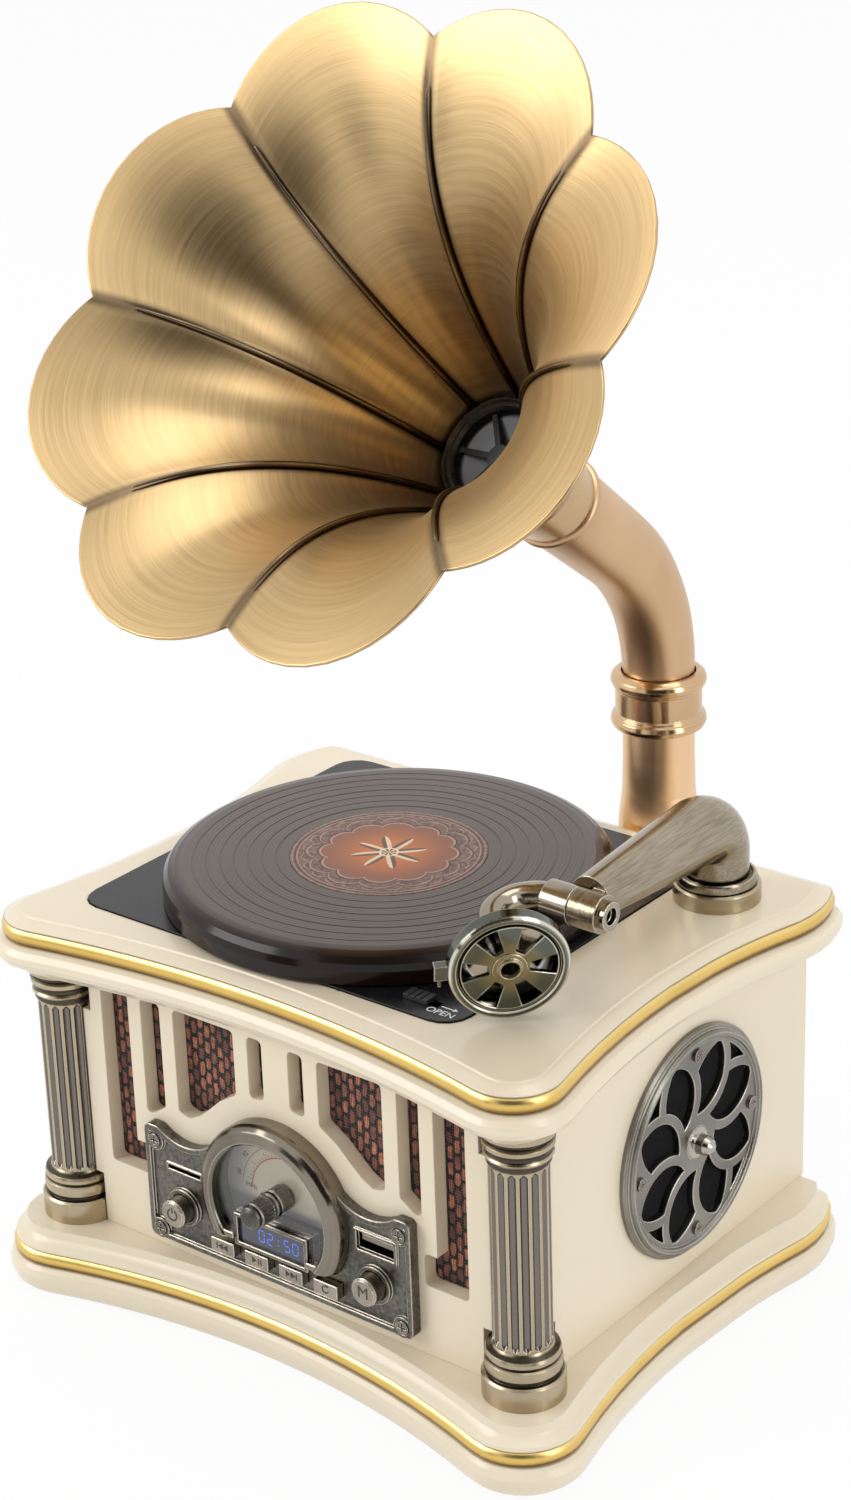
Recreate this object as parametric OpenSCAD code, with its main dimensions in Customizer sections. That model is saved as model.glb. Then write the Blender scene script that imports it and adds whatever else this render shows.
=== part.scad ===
// Gramophone-style speaker with a disc player, built as separate pieces.
// Units are mm. Z is up, the front faces -Y, and the feet rest on Z = 0.

/* [Cabinet] */
// Width across the flat sides
cabinet_w = 168; // [164:1:176]
// Depth from the front face to the back face
cabinet_d = 140; // [138:1:148]
// Height of the straight walls
cabinet_h = 82; // [80:1:88]
// Thickness of the side walls
side_wall = 4; // [3:0.5:5]
// Thickness of the front wall, which is the depth of its windows
front_wall = 5; // [4:0.5:6]
// Thickness of the rear cover
rear_cover_t = 3; // [2:0.5:4]
// Rounding of the window corners
window_corner = 1.6; // [0.8:0.2:2.4]
// Gap of the rubber feet under the base
foot_h = 1.5; // [1:0.5:3]
// Radius of a rubber foot
foot_r = 8; // [6:0.5:10]

/* [Base plate] */
// Height of the base plate
base_h = 20.5; // [19:0.5:24]
// Radius of the front corner lobes
base_lobe_r = 17.5; // [15:0.5:19]
// Reach of the lobes in front of the cabinet
base_front_reach = 19; // [17:0.5:21]
// Reach of the lobes beside the cabinet
base_side_reach = 17.5; // [16:0.5:20]
// Reach at the middle of the front edge
base_front_waist = 6.1; // [5:0.5:9]
// Reach at the waist of the side edges
base_side_waist = 9.5; // [8:0.5:12]
// Reach of the rear lobes beside the cabinet
base_rear_reach = 15.3; // [14:0.5:17]
// Reach of the base behind the cabinet
base_back_reach = 3; // [2:0.5:5]

/* [Deck] */
// Height of the deck
deck_h = 18.5; // [18:0.5:22]
// Radius of the front corner lobes
deck_lobe_r = 14.6; // [13:0.2:16]
// Reach of the lobes in front of the cabinet
deck_front_reach = 14.7; // [13:0.5:17]
// Reach of the lobes beside the cabinet
deck_side_reach = 13.2; // [12:0.4:15]
// Reach at the middle of the front edge
deck_front_waist = 5.75; // [5.5:0.25:7]
// Reach at the waist of the side edges
deck_side_waist = 6; // [5.5:0.5:8]
// Reach of the rear lobes beside the cabinet
deck_rear_reach = 14.6; // [13:0.4:16]
// Thickness of the deck's top wall
deck_top_wall = 4; // [3:0.5:5]

/* [Columns] */
// Distance of the column axes in from the cabinet's corner
column_inset = 2; // [1:0.5:3]
// Radius of the fluted shaft
shaft_r = 8.2; // [7.5:0.1:8.6]
// Number of flutes
flutes = 16; // [12:1:20]
// Radius of one flute
flute_r = 1.2; // [0.8:0.1:1.3]
// Radius of the drum at the foot
drum_r = 11.6; // [11:0.1:12.2]

/* [Control panel] */
// Half width of the panel casting
panel_half_w = 48.5; // [47:0.5:49]
// Thickness of the casting's flat field
panel_t = 2.6; // [2:0.2:3.4]
// Height of the raised rim above the field
panel_rim_h = 1; // [0.4:0.2:1.4]
// Height of the panel above the base plate
panel_lift = 5.3; // [4.5:0.1:6]
// Height of the casting
panel_h = 36.9; // [36:0.1:38]
// Outer radius of the dial bezel
dial_outer_r = 26; // [25:0.2:27]
// Radius of the dial's glass opening
dial_glass_r = 20.5; // [19.5:0.1:21]
// Radius of the tuning knob
knob_r = 3.9; // [3.4:0.1:4.2]
// Reach of the tuning knob in front of the cabinet
knob_reach = 15; // [12:0.5:18]
// Radius of the two round buttons
button_r = 4.3; // [3.8:0.1:4.6]
// Travel of the round buttons
button_travel = 1; // [0.5:0.1:1]
// Width of one rectangular key
key_w = 8.4; // [7:0.1:9]
// Height of one rectangular key
key_h = 4.2; // [3.4:0.1:4.6]
// Distance between neighbouring keys
key_pitch = 12.7; // [12.2:0.1:13]

/* [Side grilles] */
// Outer radius of a side grille
grille_r = 34.6; // [33:0.2:35]
// Height of the grille's flat field above the side
grille_rise = 2.5; // [2:0.1:3]
// Distance of the grille centre behind the middle of the side
grille_back = 9; // [6:0.5:12]
// Height of the grille centre above the base plate
grille_lift = 41; // [39:0.5:43]

/* [Disc well and lid] */
// Lid centre, sideways from the middle of the deck
lid_x = -10.5; // [-12:0.5:-10]
// Lid centre, front to back from the middle of the deck
lid_y = -4.5; // [-5:0.5:-4]
// Outer radius of the record-shaped lid
lid_r = 65.4; // [65:0.1:65.8]
// Height of the lid
lid_h = 9.4; // [9:0.1:12]
// Thickness of the lid's wall
lid_t = 2.2; // [1.8:0.1:2.4]
// Radius of the label on the lid
label_r = 28.5; // [26:0.5:32]
// Direction of the lid's hinge from its centre, in degrees
hinge_turn = 130; // [125:1:135]
// Reach of the lid past the wall of the disc well
lid_overhang = 4.7; // [4.4:0.1:4.9]
// Depth of the well below the deck panel
well_depth = 9; // [8.5:0.5:9.5]
// Radius of the disc spindle, for a hole of 15 mm
spindle_r = 7.4; // [7.2:0.05:7.45]

/* [Tonearm] */
// Place of the tonearm's pivot, sideways
arm_x = 71.2; // [70:0.2:72]
// Distance of the tonearm's pivot in from the back face
arm_in = 28; // [24:0.5:32]
// Height of the tonearm tube above the deck
arm_lift = 24; // [23:0.5:28]
// Length from the pivot to the joint barrel
arm_len = 67.7; // [64:0.5:70]
// Radius of the tube at its foot
arm_foot_r = 9.2; // [8.8:0.1:9.6]
// Radius of the tube at the elbow
arm_elbow_r = 9.7; // [9.4:0.1:10.2]
// Radius of the tube at the joint barrel
arm_tip_r = 6.4; // [6:0.1:7]
// Radius of the joint barrel
barrel_r = 5.4; // [5:0.1:5.6]
// Radius of the sound box
sound_box_r = 16.3; // [15:0.1:17]

/* [Horn] */
// Horn centre line, sideways from the middle of the deck
horn_x = 23.5; // [20:0.5:26]
// Radius at the notches between the petals
horn_notch_r = 79.4; // [76:0.2:82]
// Reach of a petal's middle past the notches
petal_reach = 11.6; // [9:0.2:13]
// Forward swell of a petal's middle
petal_swell = 3.1; // [2:0.1:4]
// Radius at the throat
throat_r = 17.2; // [16.6:0.1:18]
// Depth from the notches to the throat
horn_depth = 86; // [82:1:90]
// Thickness of the horn's metal
horn_t = 1.2; // [1:0.1:1.6]
// Lean of the horn's axis from the vertical, in degrees
horn_lean = 52.2; // [50:0.2:55]

/* [Neck and pipe] */
// Radius of the pipe
pipe_r = 10.75; // [10.2:0.05:11.2]
// Wall of the pipe
pipe_wall = 1.4; // [1:0.1:2]
// Distance of the pipe's centre behind the cabinet
pipe_back = 13; // [13:0.1:14]
// Height where the neck starts to bend
bend_z = 167; // [166:1:172]
// Radius of the neck's bend
bend_r = 58; // [56:1:60]
// Straight length between the bend and the horn's socket
neck_straight = 37; // [35:1:40]
// Length of the horn's socket behind the throat
socket_len = 29; // [28:1:30]

/* [Hidden] */
$fn = 72;
fit = 0.1;
gap = 0.3;
side_x = cabinet_w/2;
front_y = -cabinet_d/2;
back_y = cabinet_d/2;
base_top = foot_h + base_h;
cabinet_top = base_top + cabinet_h;
deck_top = cabinet_top + deck_h;
column_x = side_x - column_inset;
column_y = front_y + column_inset;
capital_top = cabinet_top + 3.7;

// Heights of the gilt beads, down from the top of their slab
base_bead_up = 5.9;
base_bead_down = 10.8;
deck_bead_up = 2.1;
deck_bead_down = 7.3;
bead_seat = 2.2;
waist_y = -8;
rear_lobe_r = 34;
rear_lobe_y = 52;
rear_corner_r = 6;

// Control panel places, all from the front wall and the panel's foot
panel_z = base_top + panel_lift;
panel_field_y = front_y - panel_t;
panel_rim_y = panel_field_y - panel_rim_h;
panel_top = panel_z + panel_h;
dial_z = panel_z + 25.2;
dial_chord_z = panel_z + 13;
dial_h = 7.5;
dial_front_y = front_y - dial_h;
dial_tube_r = dial_glass_r + 2.3;
dial_plate_r = dial_glass_r + 1;
knob_z = dial_z + 1.7;
display_w = 26.8;
display_low = panel_z + 10.1;
display_high = panel_z + 20.4;
display_front_y = front_y - 6;
button_x = panel_half_w - 13.3;
button_z = panel_z + 12.9;
button_front_y = front_y - 8.4;
key_z = panel_z + 6.5;
key_front_y = front_y - 5.4;
key_travel = 0.8;
usb_x = panel_half_w - 12.5;
usb_z = panel_z + 25.5;
card_x = 13.9 - panel_half_w;
card_z = panel_z + 24.6;
opening_half_w = panel_half_w - 5.3;
board_y = front_y + 11.6;
board_t = 1.6;
switch_y = board_y - 2.2;
stem_gap = 0.2;

// Disc well places
deck_panel_t = 1.8;
deck_panel_rise = 0.5;
panel_top_z = deck_top + deck_panel_rise;
deck_panel_left = 5.6 - side_x;
deck_panel_right = arm_x - 13.4;
deck_panel_front = front_y + 6.2;
deck_panel_back = back_y - 9;
well_wall = 1.1;
well_r = lid_r - lid_overhang;
well_floor_z = panel_top_z - well_depth;
well_flange_r = well_r + 2.7;
lid_low = panel_top_z + 0.25;
lid_top = lid_low + lid_h;
hinge_z = panel_top_z + 0.8;
hinge_r = lid_r + 2.8;
knuckle_r = 2.2;
knuckle_half = 4.15;
hinge_pin_r = 1;
latch_turn = -59;
latch_r = well_r + well_wall + 0.6;
slider_out = 7.432;
slider_y = deck_panel_front + 7.8;
slider_x = lid_x + sqrt(pow(lid_r + slider_out, 2) - pow(slider_y - lid_y, 2));
slider_travel = 4;
pickup_first = 24;
pickup_travel = 32;
pickup_lens_r = 2.6;
chassis_end = 70;
disc_seat_z = well_floor_z + 3;
screw_offset = 16.6;
rail_offset = 11;
drive_z = well_floor_z - 6;

// Tonearm places
arm_y = back_y - arm_in;
arm_z = deck_top + arm_lift;
barrel_y = arm_y - arm_len;
barrel_half = 9;
joint_pin_r = 1.7;
elbow_bend_r = arm_elbow_r + 0.7;
arm_base_h = 5.2;
arm_post_r = 4;
box_centre = [arm_x - 1.2, barrel_y - 28.6, arm_z - 6.4];
box_turn = 47.5;
box_tip = 9.7;
box_screw_r = 2.5;

// Horn and pipe places
pipe_y = back_y + pipe_back;
bend_end_y = pipe_y - bend_r*(1 - cos(horn_lean));
bend_end_z = bend_z + bend_r*sin(horn_lean);
horn_back = neck_straight + socket_len + horn_depth;
horn_axis = [0, -sin(horn_lean), cos(horn_lean)];
horn_centre = [horn_x, bend_end_y, bend_end_z] + horn_back*horn_axis;
horn_curl = 8;
petals = 8;
crease_turn = 2.7;
collar_high = bend_z + 0.8;
collar_low = collar_high - 17.5;
neck_seat = 8;
lip_r = pipe_r + 2.15;
foot_pipe_r = pipe_r + 1.55;
bracket_low = cabinet_top - 26;
bracket_high = cabinet_top - 0.4;
bracket_wall = 3.2;
bracket_plate_half = 24;
bracket_drop = 15;

// Jacks in the rear cover
audio_x = 44 - side_x;
power_x = 26 - side_x;
jack_z = base_top + 30;
audio_bore_r = 1.8;
power_bore_r = 2.8;
jack_len = 12;

/* Which pieces are drawn */

// Points of an arc, ends included
function arc(centre, r, from, to, steps) =
  [for (i = [0:steps]) let (a = from + (to - from)*i/steps) centre + r*[cos(a), sin(a)]];

// Right half of a serpentine edge: front waist, lobe, side waist, rear lobe and corner.
// Each stretch is an arc that meets the next one smoothly, and grow moves all of them out.
function edge_half(lobe_r, front, side, front_waist, side_waist, rear, back, grow) =
  let (
    lobe = [side - lobe_r, lobe_r - front],
    front_depth = front - front_waist,
    front_r = (pow(lobe[0], 2) - front_depth*(2*lobe_r - front_depth))/(2*front_depth),
    front_c = [0, -front_waist - front_r],
    front_a = atan2(lobe[1] - front_c[1], lobe[0]),
    side_depth = side - side_waist,
    side_r = (pow(waist_y - lobe[1], 2) - side_depth*(2*lobe_r - side_depth))/(2*side_depth),
    side_c = [side_waist + side_r, waist_y],
    side_a = atan2(side_c[1] - lobe[1], side_c[0] - lobe[0]),
    rear_c = [rear - rear_lobe_r, rear_lobe_y],
    rear_depth = rear - side_waist,
    swell_r = (pow(rear_c[1] - waist_y, 2) - rear_depth*(2*rear_lobe_r - rear_depth))/(2*rear_depth),
    swell_c = [side_waist + swell_r, waist_y],
    swell_a = atan2(rear_c[1] - swell_c[1], rear_c[0] - swell_c[0]),
    corner_up = back - rear_corner_r - rear_c[1],
    corner_out = sqrt(pow(rear_lobe_r - rear_corner_r, 2) - pow(corner_up, 2)),
    corner_a = atan2(corner_up, corner_out)
  )
  concat(
    arc(front_c, front_r - grow, 90, front_a, 9),
    arc(lobe, lobe_r + grow, front_a - 165, side_a - 12, 10),
    arc(side_c, side_r - grow, 180 + side_a, 180, 5),
    arc(swell_c, swell_r - grow, 174, swell_a, 4),
    arc(rear_c, rear_lobe_r + grow, swell_a - 175, corner_a, 4),
    arc(rear_c + [corner_out, corner_up], rear_corner_r + grow, corner_a + 15, 90, 4)
  );

// Whole outline from the right half, at height z
function edge_ring(half, z) =
  concat([for (p = half) [p[0], p[1], z]],
    [for (i = [len(half) - 1:-1:1]) [-half[i][0], half[i][1], z]]);

function base_ring(grow, z) =
  edge_ring(edge_half(base_lobe_r, cabinet_d/2 + base_front_reach, side_x + base_side_reach,
    cabinet_d/2 + base_front_waist, side_x + base_side_waist, side_x + base_rear_reach,
    back_y + base_back_reach, grow), z);

function deck_ring(grow, z) =
  edge_ring(edge_half(deck_lobe_r, cabinet_d/2 + deck_front_reach, side_x + deck_side_reach,
    cabinet_d/2 + deck_front_waist, side_x + deck_side_waist, side_x + deck_rear_reach,
    back_y, grow), z);

// Solid through a list of rings, each running the other way round its direction of travel.
// With loop, the last ring joins the first one, and otherwise both ends are closed.
module skin(rings, loop = false) {
  n = len(rings[0]);
  m = len(rings);
  last = loop ? m - 1 : m - 2;
  sides = [for (j = [0:last]) for (i = [0:n - 1])
    let (next = (i + 1)%n, row = j*n, below = ((j + 1)%m)*n)
    each [[row + i, row + next, below + next], [row + i, below + next, below + i]]];
  caps = [[for (i = [n - 1:-1:0]) i], [for (i = [0:n - 1]) (m - 1)*n + i]];
  polyhedron([for (ring = rings) each ring], loop ? sides : concat(sides, caps));
}

// A box by its low and high corners
module block(low, high) {
  translate(low)
    cube(high - low);
}

// A flat outline drawn in X and Z, pushed from y_front back to y_back
module upright(y_front, y_back) {
  translate([0, y_back, 0])
    rotate([90, 0, 0])
      linear_extrude(y_back - y_front)
        children();
}

// A round bar along Y
module bar_y(x, z, r, y_front, y_back) {
  translate([x, y_front, z])
    rotate([-90, 0, 0])
      cylinder(h = y_back - y_front, r = r);
}

module both_sides() {
  children();
  mirror([1, 0, 0])
    children();
}

module rounded(r) {
  offset(r = r, $fn = 16)
    offset(delta = -r)
      children();
}

// A cross-head screw, head up, with its seat at the origin
module screw(head_r, head_h, shank_r, shank_len) {
  slot = 0.5;
  difference() {
    cylinder(h = head_h, r = head_r);
    translate([0, 0, head_h])
      cube([1.3*head_r, slot, head_h], center = true);
    translate([0, 0, head_h])
      cube([slot, 1.3*head_r, head_h], center = true);
  }
  translate([0, 0, -shank_len])
    cylinder(h = shank_len + 0.1, r = shank_r);
}

// Base, feet and case
case_screw_places = [[side_x - 26, front_y + 10], [side_x - 9, back_y - 8]];
rear_screw_x = side_x - 9;
rear_screw_z = [base_top + 8, cabinet_top - 8];
bottom_screw_z = foot_h + 9;
foot_places = [[side_x - 4, front_y + 2], [side_x - 4, back_y - 26]];
board_half_x = side_x - 30;
board_half_y = back_y - 26;

module base_plate() {
  bead_high = base_top - base_bead_up;
  bead_low = base_top - base_bead_down;
  color("ivory")
    difference() {
      skin([
        base_ring(-4.4, base_top),
        base_ring(-4.3, base_top - 1.2),
        base_ring(-3.9, base_top - 2.4),
        base_ring(-3.1, base_top - 3.4),
        base_ring(-2, base_top - 4.1),
        base_ring(-1, base_top - 4.8),
        base_ring(-0.8, bead_high),
        base_ring(-bead_seat, bead_high),
        base_ring(-bead_seat, bead_low),
        base_ring(-0.4, bead_low),
        base_ring(0.8, bead_low - 1),
        base_ring(1.5, bead_low - 2.9),
        base_ring(1.4, foot_h + 4.6),
        base_ring(0.6, foot_h + 2.4),
        base_ring(-1, foot_h + 0.8),
        base_ring(-3.6, foot_h)]);
      block([18 - side_x, front_y + 20, foot_h + 3.5], [side_x - 18, back_y - 16, base_top + 1]);
      for (p = case_screw_places)
        both_sides() {
          translate([p[0], p[1], 0])
            cylinder(h = bottom_screw_z, r = 3.2);
          translate([p[0], p[1], 0])
            cylinder(h = base_top + 1, r = 1.6);
        }
      for (p = foot_places)
        both_sides()
          translate([p[0], p[1], 0])
            cylinder(h = foot_h + 1, r = foot_r);
    }
  color("ivory")
    for (x = [-1, 1], y = [-1, 1])
      translate([x*(board_half_x - 6), y*(board_half_y - 8), foot_h + 3.5])
        cylinder(h = 3, r = 3);
}

// A half-round bead set into its channel
module bead(inner, low, high, deck) {
  middle = (low + high)/2;
  rise = (high - low)/2 - fit/2;
  profile = concat([[inner, low + fit/2]],
    [for (a = [-75:30:75]) [inner + 0.3 + (0 - inner - 0.3)*cos(a), middle + rise*sin(a)]],
    [[inner, high - fit/2]]);
  order = [for (i = [len(profile) - 1:-1:0]) profile[i]];
  color("gold")
    skin([for (p = order) deck ? deck_ring(p[0], p[1]) : base_ring(p[0], p[1])], true);
}

module base_trim() {
  bead(-bead_seat, base_top - base_bead_down, base_top - base_bead_up, false);
}

module rubber_feet() {
  color("dimgray")
    for (p = foot_places)
      both_sides()
        translate([p[0], p[1], 0])
          cylinder(h = foot_h + 1, r = foot_r);
}

module case_screws() {
  color("silver") {
    for (p = case_screw_places)
      both_sides()
        translate([p[0], p[1], bottom_screw_z])
          mirror([0, 0, 1])
            screw(2.8, 2, 1.4, base_top - bottom_screw_z + 9);
    for (z = rear_screw_z)
      both_sides()
        translate([rear_screw_x, back_y, z])
          rotate([-90, 0, 0])
            screw(2.4, 1.2, 1.2, 9);
    for (x = [-1, 1], z = [bracket_low - 10, bracket_low + 9])
      translate([horn_x + x*(bracket_plate_half - 5), back_y + bracket_wall, z])
        rotate([-90, 0, 0])
          screw(2.4, 1.2, 1.2, bracket_wall + rear_cover_t + 2);
  }
}

// Outlines of the four windows right of the middle, in X and height
window_top = cabinet_top - 1.9;
outer_window = [[55.1, window_top], [65.7, window_top], [65.7, base_top + 22.3],
  [50.5, base_top + 22.3], [50.5, base_top + 32.3], [55.1, base_top + 32.3]];
second_window = [[42.8, window_top], [50.2, window_top], [50.2, base_top + 42], [42.8, base_top + 47]];
third_window = [[15.1, window_top], [37.7, window_top], [37.7, base_top + 47.4],
  [33.6, base_top + 46.3], [29.6, base_top + 48.5], [25.5, base_top + 52.1],
  [21.4, base_top + 56], [15.1, base_top + 60]];
slot_window = [[4.7, window_top], [10, window_top], [10, base_top + 60.6], [4.7, base_top + 61.6]];

module column_pocket() {
  translate([column_x, column_y, base_top - 1])
    cylinder(h = 17, r = drum_r + gap);
  translate([column_x, column_y, base_top])
    cylinder(h = cabinet_h + 1, r = shaft_r + 0.8);
  translate([column_x, column_y, cabinet_top - 12])
    cylinder(h = 20, r = drum_r + gap);
}

module cabinet() {
  inner_x = side_x - side_wall;
  corner_wall = 2.6;
  color("ivory")
    difference() {
      union() {
        difference() {
          block([-side_x, front_y, base_top], [side_x, back_y, cabinet_top]);
          block([-inner_x, front_y + front_wall, base_top - 1], [inner_x, back_y + 1, cabinet_top + 1]);
        }
        both_sides() {
          intersection() {
            block([0, front_y, base_top], [side_x, back_y, cabinet_top]);
            translate([column_x, column_y, base_top])
              cylinder(h = cabinet_h, r = drum_r + corner_wall);
          }
          block([side_x - 14, back_y - 13, base_top], [inner_x + 0.1, back_y - rear_cover_t, cabinet_top]);
          block([side_x - 31, front_y + 4, base_top], [side_x - 21, front_y + 15, base_top + 14]);
        }
      }
      both_sides() {
        column_pocket();
        for (shape = [outer_window, second_window, third_window, slot_window])
          upright(front_y - 1, front_y + front_wall + 1)
            rounded(window_corner)
              polygon(shape);
        translate([inner_x - 1, grille_back, base_top + grille_lift])
          rotate([0, 90, 0])
            cylinder(h = side_wall + 2, r = 28);
        for (p = case_screw_places)
          translate([p[0], p[1], base_top - 1])
            cylinder(h = 12, r = 1.4);
        for (z = rear_screw_z)
          bar_y(rear_screw_x, z, 1.2, back_y - 13, back_y);
        for (z = panel_screw_z)
          bar_y(panel_screw_x, z, 1.1, front_y - 1, front_y + front_wall + 1);
        for (a = [0:90:270])
          translate([inner_x - 1, grille_back, base_top + grille_lift])
            rotate([a, 0, 0])
              translate([0, 0, grille_screw_r])
                rotate([0, 90, 0])
                  cylinder(h = side_wall + 2, r = 0.9);
      }
      block([-opening_half_w, front_y - 1, panel_z + 2.7],
        [opening_half_w, front_y + front_wall + 1, panel_z + 30.7]);
      bar_y(0, dial_z, dial_tube_r + gap, front_y - 1, front_y + front_wall + 1);
    }
}

module rear_cover() {
  half = side_x - side_wall - gap;
  color("ivory")
    difference() {
      block([-half, back_y - rear_cover_t, base_top + gap], [half, back_y, cabinet_top - gap]);
      for (z = rear_screw_z)
        both_sides()
          bar_y(rear_screw_x, z, 1.3, back_y - 5, back_y + 1);
      for (x = [-1, 1], z = [bracket_low - 10, bracket_low + 9])
        bar_y(horn_x + x*(bracket_plate_half - 5), z, 1.2, back_y - 5, back_y + 1);
      bar_y(audio_x, jack_z, 4.1, back_y - 5, back_y + 1);
      bar_y(power_x, jack_z, 5.1, back_y - 5, back_y + 1);
      for (x = [-24:6:24])
        block([x - 1.2, back_y - 5, base_top + 10], [x + 1.2, back_y + 1, base_top + 34]);
    }
}

module rear_jacks() {
  color("black") {
    difference() {
      union() {
        bar_y(audio_x, jack_z, 4, back_y - jack_len, back_y + 0.4);
        block([audio_x - 5.5, back_y - jack_len, jack_z - 4.5],
          [audio_x + 5.5, back_y - rear_cover_t - 0.05, jack_z + 4.5]);
      }
      bar_y(audio_x, jack_z, audio_bore_r, back_y - jack_len + 1, back_y + 1);
    }
    difference() {
      union() {
        bar_y(power_x, jack_z, 5, back_y - jack_len, back_y + 0.4);
        block([power_x - 6.5, back_y - jack_len, jack_z - 6],
          [power_x + 6.5, back_y - rear_cover_t - 0.05, jack_z + 6]);
      }
      difference() {
        bar_y(power_x, jack_z, power_bore_r, back_y - jack_len + 2, back_y + 1);
        bar_y(power_x, jack_z, 1, back_y - jack_len, back_y - 1.5);
      }
    }
  }
}

// Deck with its moulded edge
module deck_opening(r_extra, plate_extra) {
  translate([lid_x, lid_y])
    circle(r = well_flange_r + r_extra);
  rounded(8)
    translate([deck_panel_left - plate_extra, deck_panel_front - plate_extra])
      square([deck_panel_right - deck_panel_left, deck_panel_back - deck_panel_front] + 2*plate_extra*[1, 1]);
}

module deck() {
  bead_high = deck_top - deck_bead_up;
  bead_low = deck_top - deck_bead_down;
  recess_z = panel_top_z - deck_panel_t;
  color("ivory")
    difference() {
      skin([
        deck_ring(-5.7, deck_top),
        deck_ring(-5.3, deck_top - 0.5),
        deck_ring(-4.7, deck_top - 0.6),
        deck_ring(-3.6, deck_top - 0.9),
        deck_ring(-2.4, deck_top - 1.4),
        deck_ring(-0.8, bead_high),
        deck_ring(-bead_seat, bead_high),
        deck_ring(-bead_seat, bead_low),
        deck_ring(-0.6, bead_low),
        deck_ring(1, bead_low - 0.8),
        deck_ring(2.2, bead_low - 2.4),
        deck_ring(2.4, bead_low - 4.2),
        deck_ring(1.4, bead_low - 6),
        deck_ring(-0.4, bead_low - 7.2),
        deck_ring(-2, bead_low - 7.4),
        deck_ring(-2.6, bead_low - 8.6),
        deck_ring(-4, bead_low - 9.8),
        deck_ring(-5.2, cabinet_top)]);
      translate([0, 0, recess_z])
        linear_extrude(10)
          deck_opening(gap, gap);
      block([deck_panel_left + 4.4, front_y + 12, cabinet_top - 1],
        [deck_panel_right + 4.2, back_y - 8, deck_top - deck_top_wall]);
      block([deck_panel_left + 4.4, front_y + 12, cabinet_top - 1],
        [deck_panel_right - 4.3, back_y - 14, deck_top + 1]);
      block([slider_x - 5, slider_y - 2.4, cabinet_top - 1],
        [slider_x + slider_travel + 5, slider_y + 2.4, deck_top + 1]);
      translate([lid_x, lid_y, well_floor_z - 1.2 - gap])
        cylinder(h = 20, r = well_r + well_wall + gap);
      at_lid(latch_turn, well_r - 1)
        translate([0, -5.5, well_floor_z])
          cube([lid_overhang + 2.3, 11, deck_h]);
      both_sides()
        translate([column_x, column_y, cabinet_top - 1])
          cylinder(h = capital_top - cabinet_top + 1, r = drum_r + gap);
      translate([arm_x, arm_y, cabinet_top - 1])
        cylinder(h = deck_h + 2, r = 3.3);
      translate([arm_x, arm_y, cabinet_top - 1])
        cylinder(h = deck_h + 1 - deck_top_wall, r = 7);
      translate([horn_x, pipe_y, cabinet_top - 1])
        cylinder(h = deck_h + 2, r = foot_pipe_r + gap);
    }
}

module deck_trim() {
  bead(-bead_seat, deck_top - deck_bead_down, deck_top - deck_bead_up, true);
}

module at_lid(turn, r) {
  translate([lid_x, lid_y, 0])
    rotate([0, 0, turn])
      translate([r, 0, 0])
        children();
}

module deck_panel() {
  color([0.08, 0.08, 0.09]) {
    difference() {
      union() {
        translate([0, 0, panel_top_z - deck_panel_t])
          linear_extrude(deck_panel_t)
            deck_opening(0, 0);
        translate([lid_x, lid_y, well_floor_z - 1.1])
          cylinder(h = well_depth + 1.1 - 0.5, r = well_r + well_wall);
      }
      translate([lid_x, lid_y, well_floor_z])
        cylinder(h = well_depth + 1, r = well_r);
      translate([lid_x, lid_y, well_floor_z - 2])
        cylinder(h = 4, r = 4);
      block([lid_x + 16, lid_y - 13, well_floor_z - 2],
        [lid_x + pickup_first + pickup_travel + 3, lid_y + 13, well_floor_z + 1]);
      block([slider_x - 3, slider_y - 1.6, panel_top_z - 3],
        [slider_x + 3 + slider_travel, slider_y + 1.6, panel_top_z + 1]);
      at_lid(latch_turn, latch_r - 0.4)
        translate([0, -4.8, panel_top_z - 4])
          cube([lid_r - lid_t + 1.8 - latch_r, 9.6, 6]);
      at_lid(hinge_turn, hinge_r - 6)
        translate([0, -knuckle_half - 0.35, panel_top_z - 4])
          cube([9, 2*knuckle_half + 0.7, 6]);
      hinge_bore();
    }
    for (s = [-1, 1])
      difference() {
        hull() {
          at_lid(hinge_turn, hinge_r)
            translate([0, s*(knuckle_half + 2.1), hinge_z])
              rotate([90, 0, 0])
                cylinder(h = 3, r = knuckle_r, center = true, $fn = 32);
          at_lid(hinge_turn, hinge_r)
            translate([-knuckle_r, s*(knuckle_half + 2.1) - 1.5, panel_top_z - 1])
              cube([2*knuckle_r, 3, 0.5]);
        }
        hinge_bore();
      }
  }
}

module hinge_bore() {
  at_lid(hinge_turn, hinge_r)
    translate([0, 0, hinge_z])
      rotate([90, 0, 0])
        cylinder(h = 2*knuckle_half + 8, r = hinge_pin_r + 0.02, center = true);
}

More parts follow.
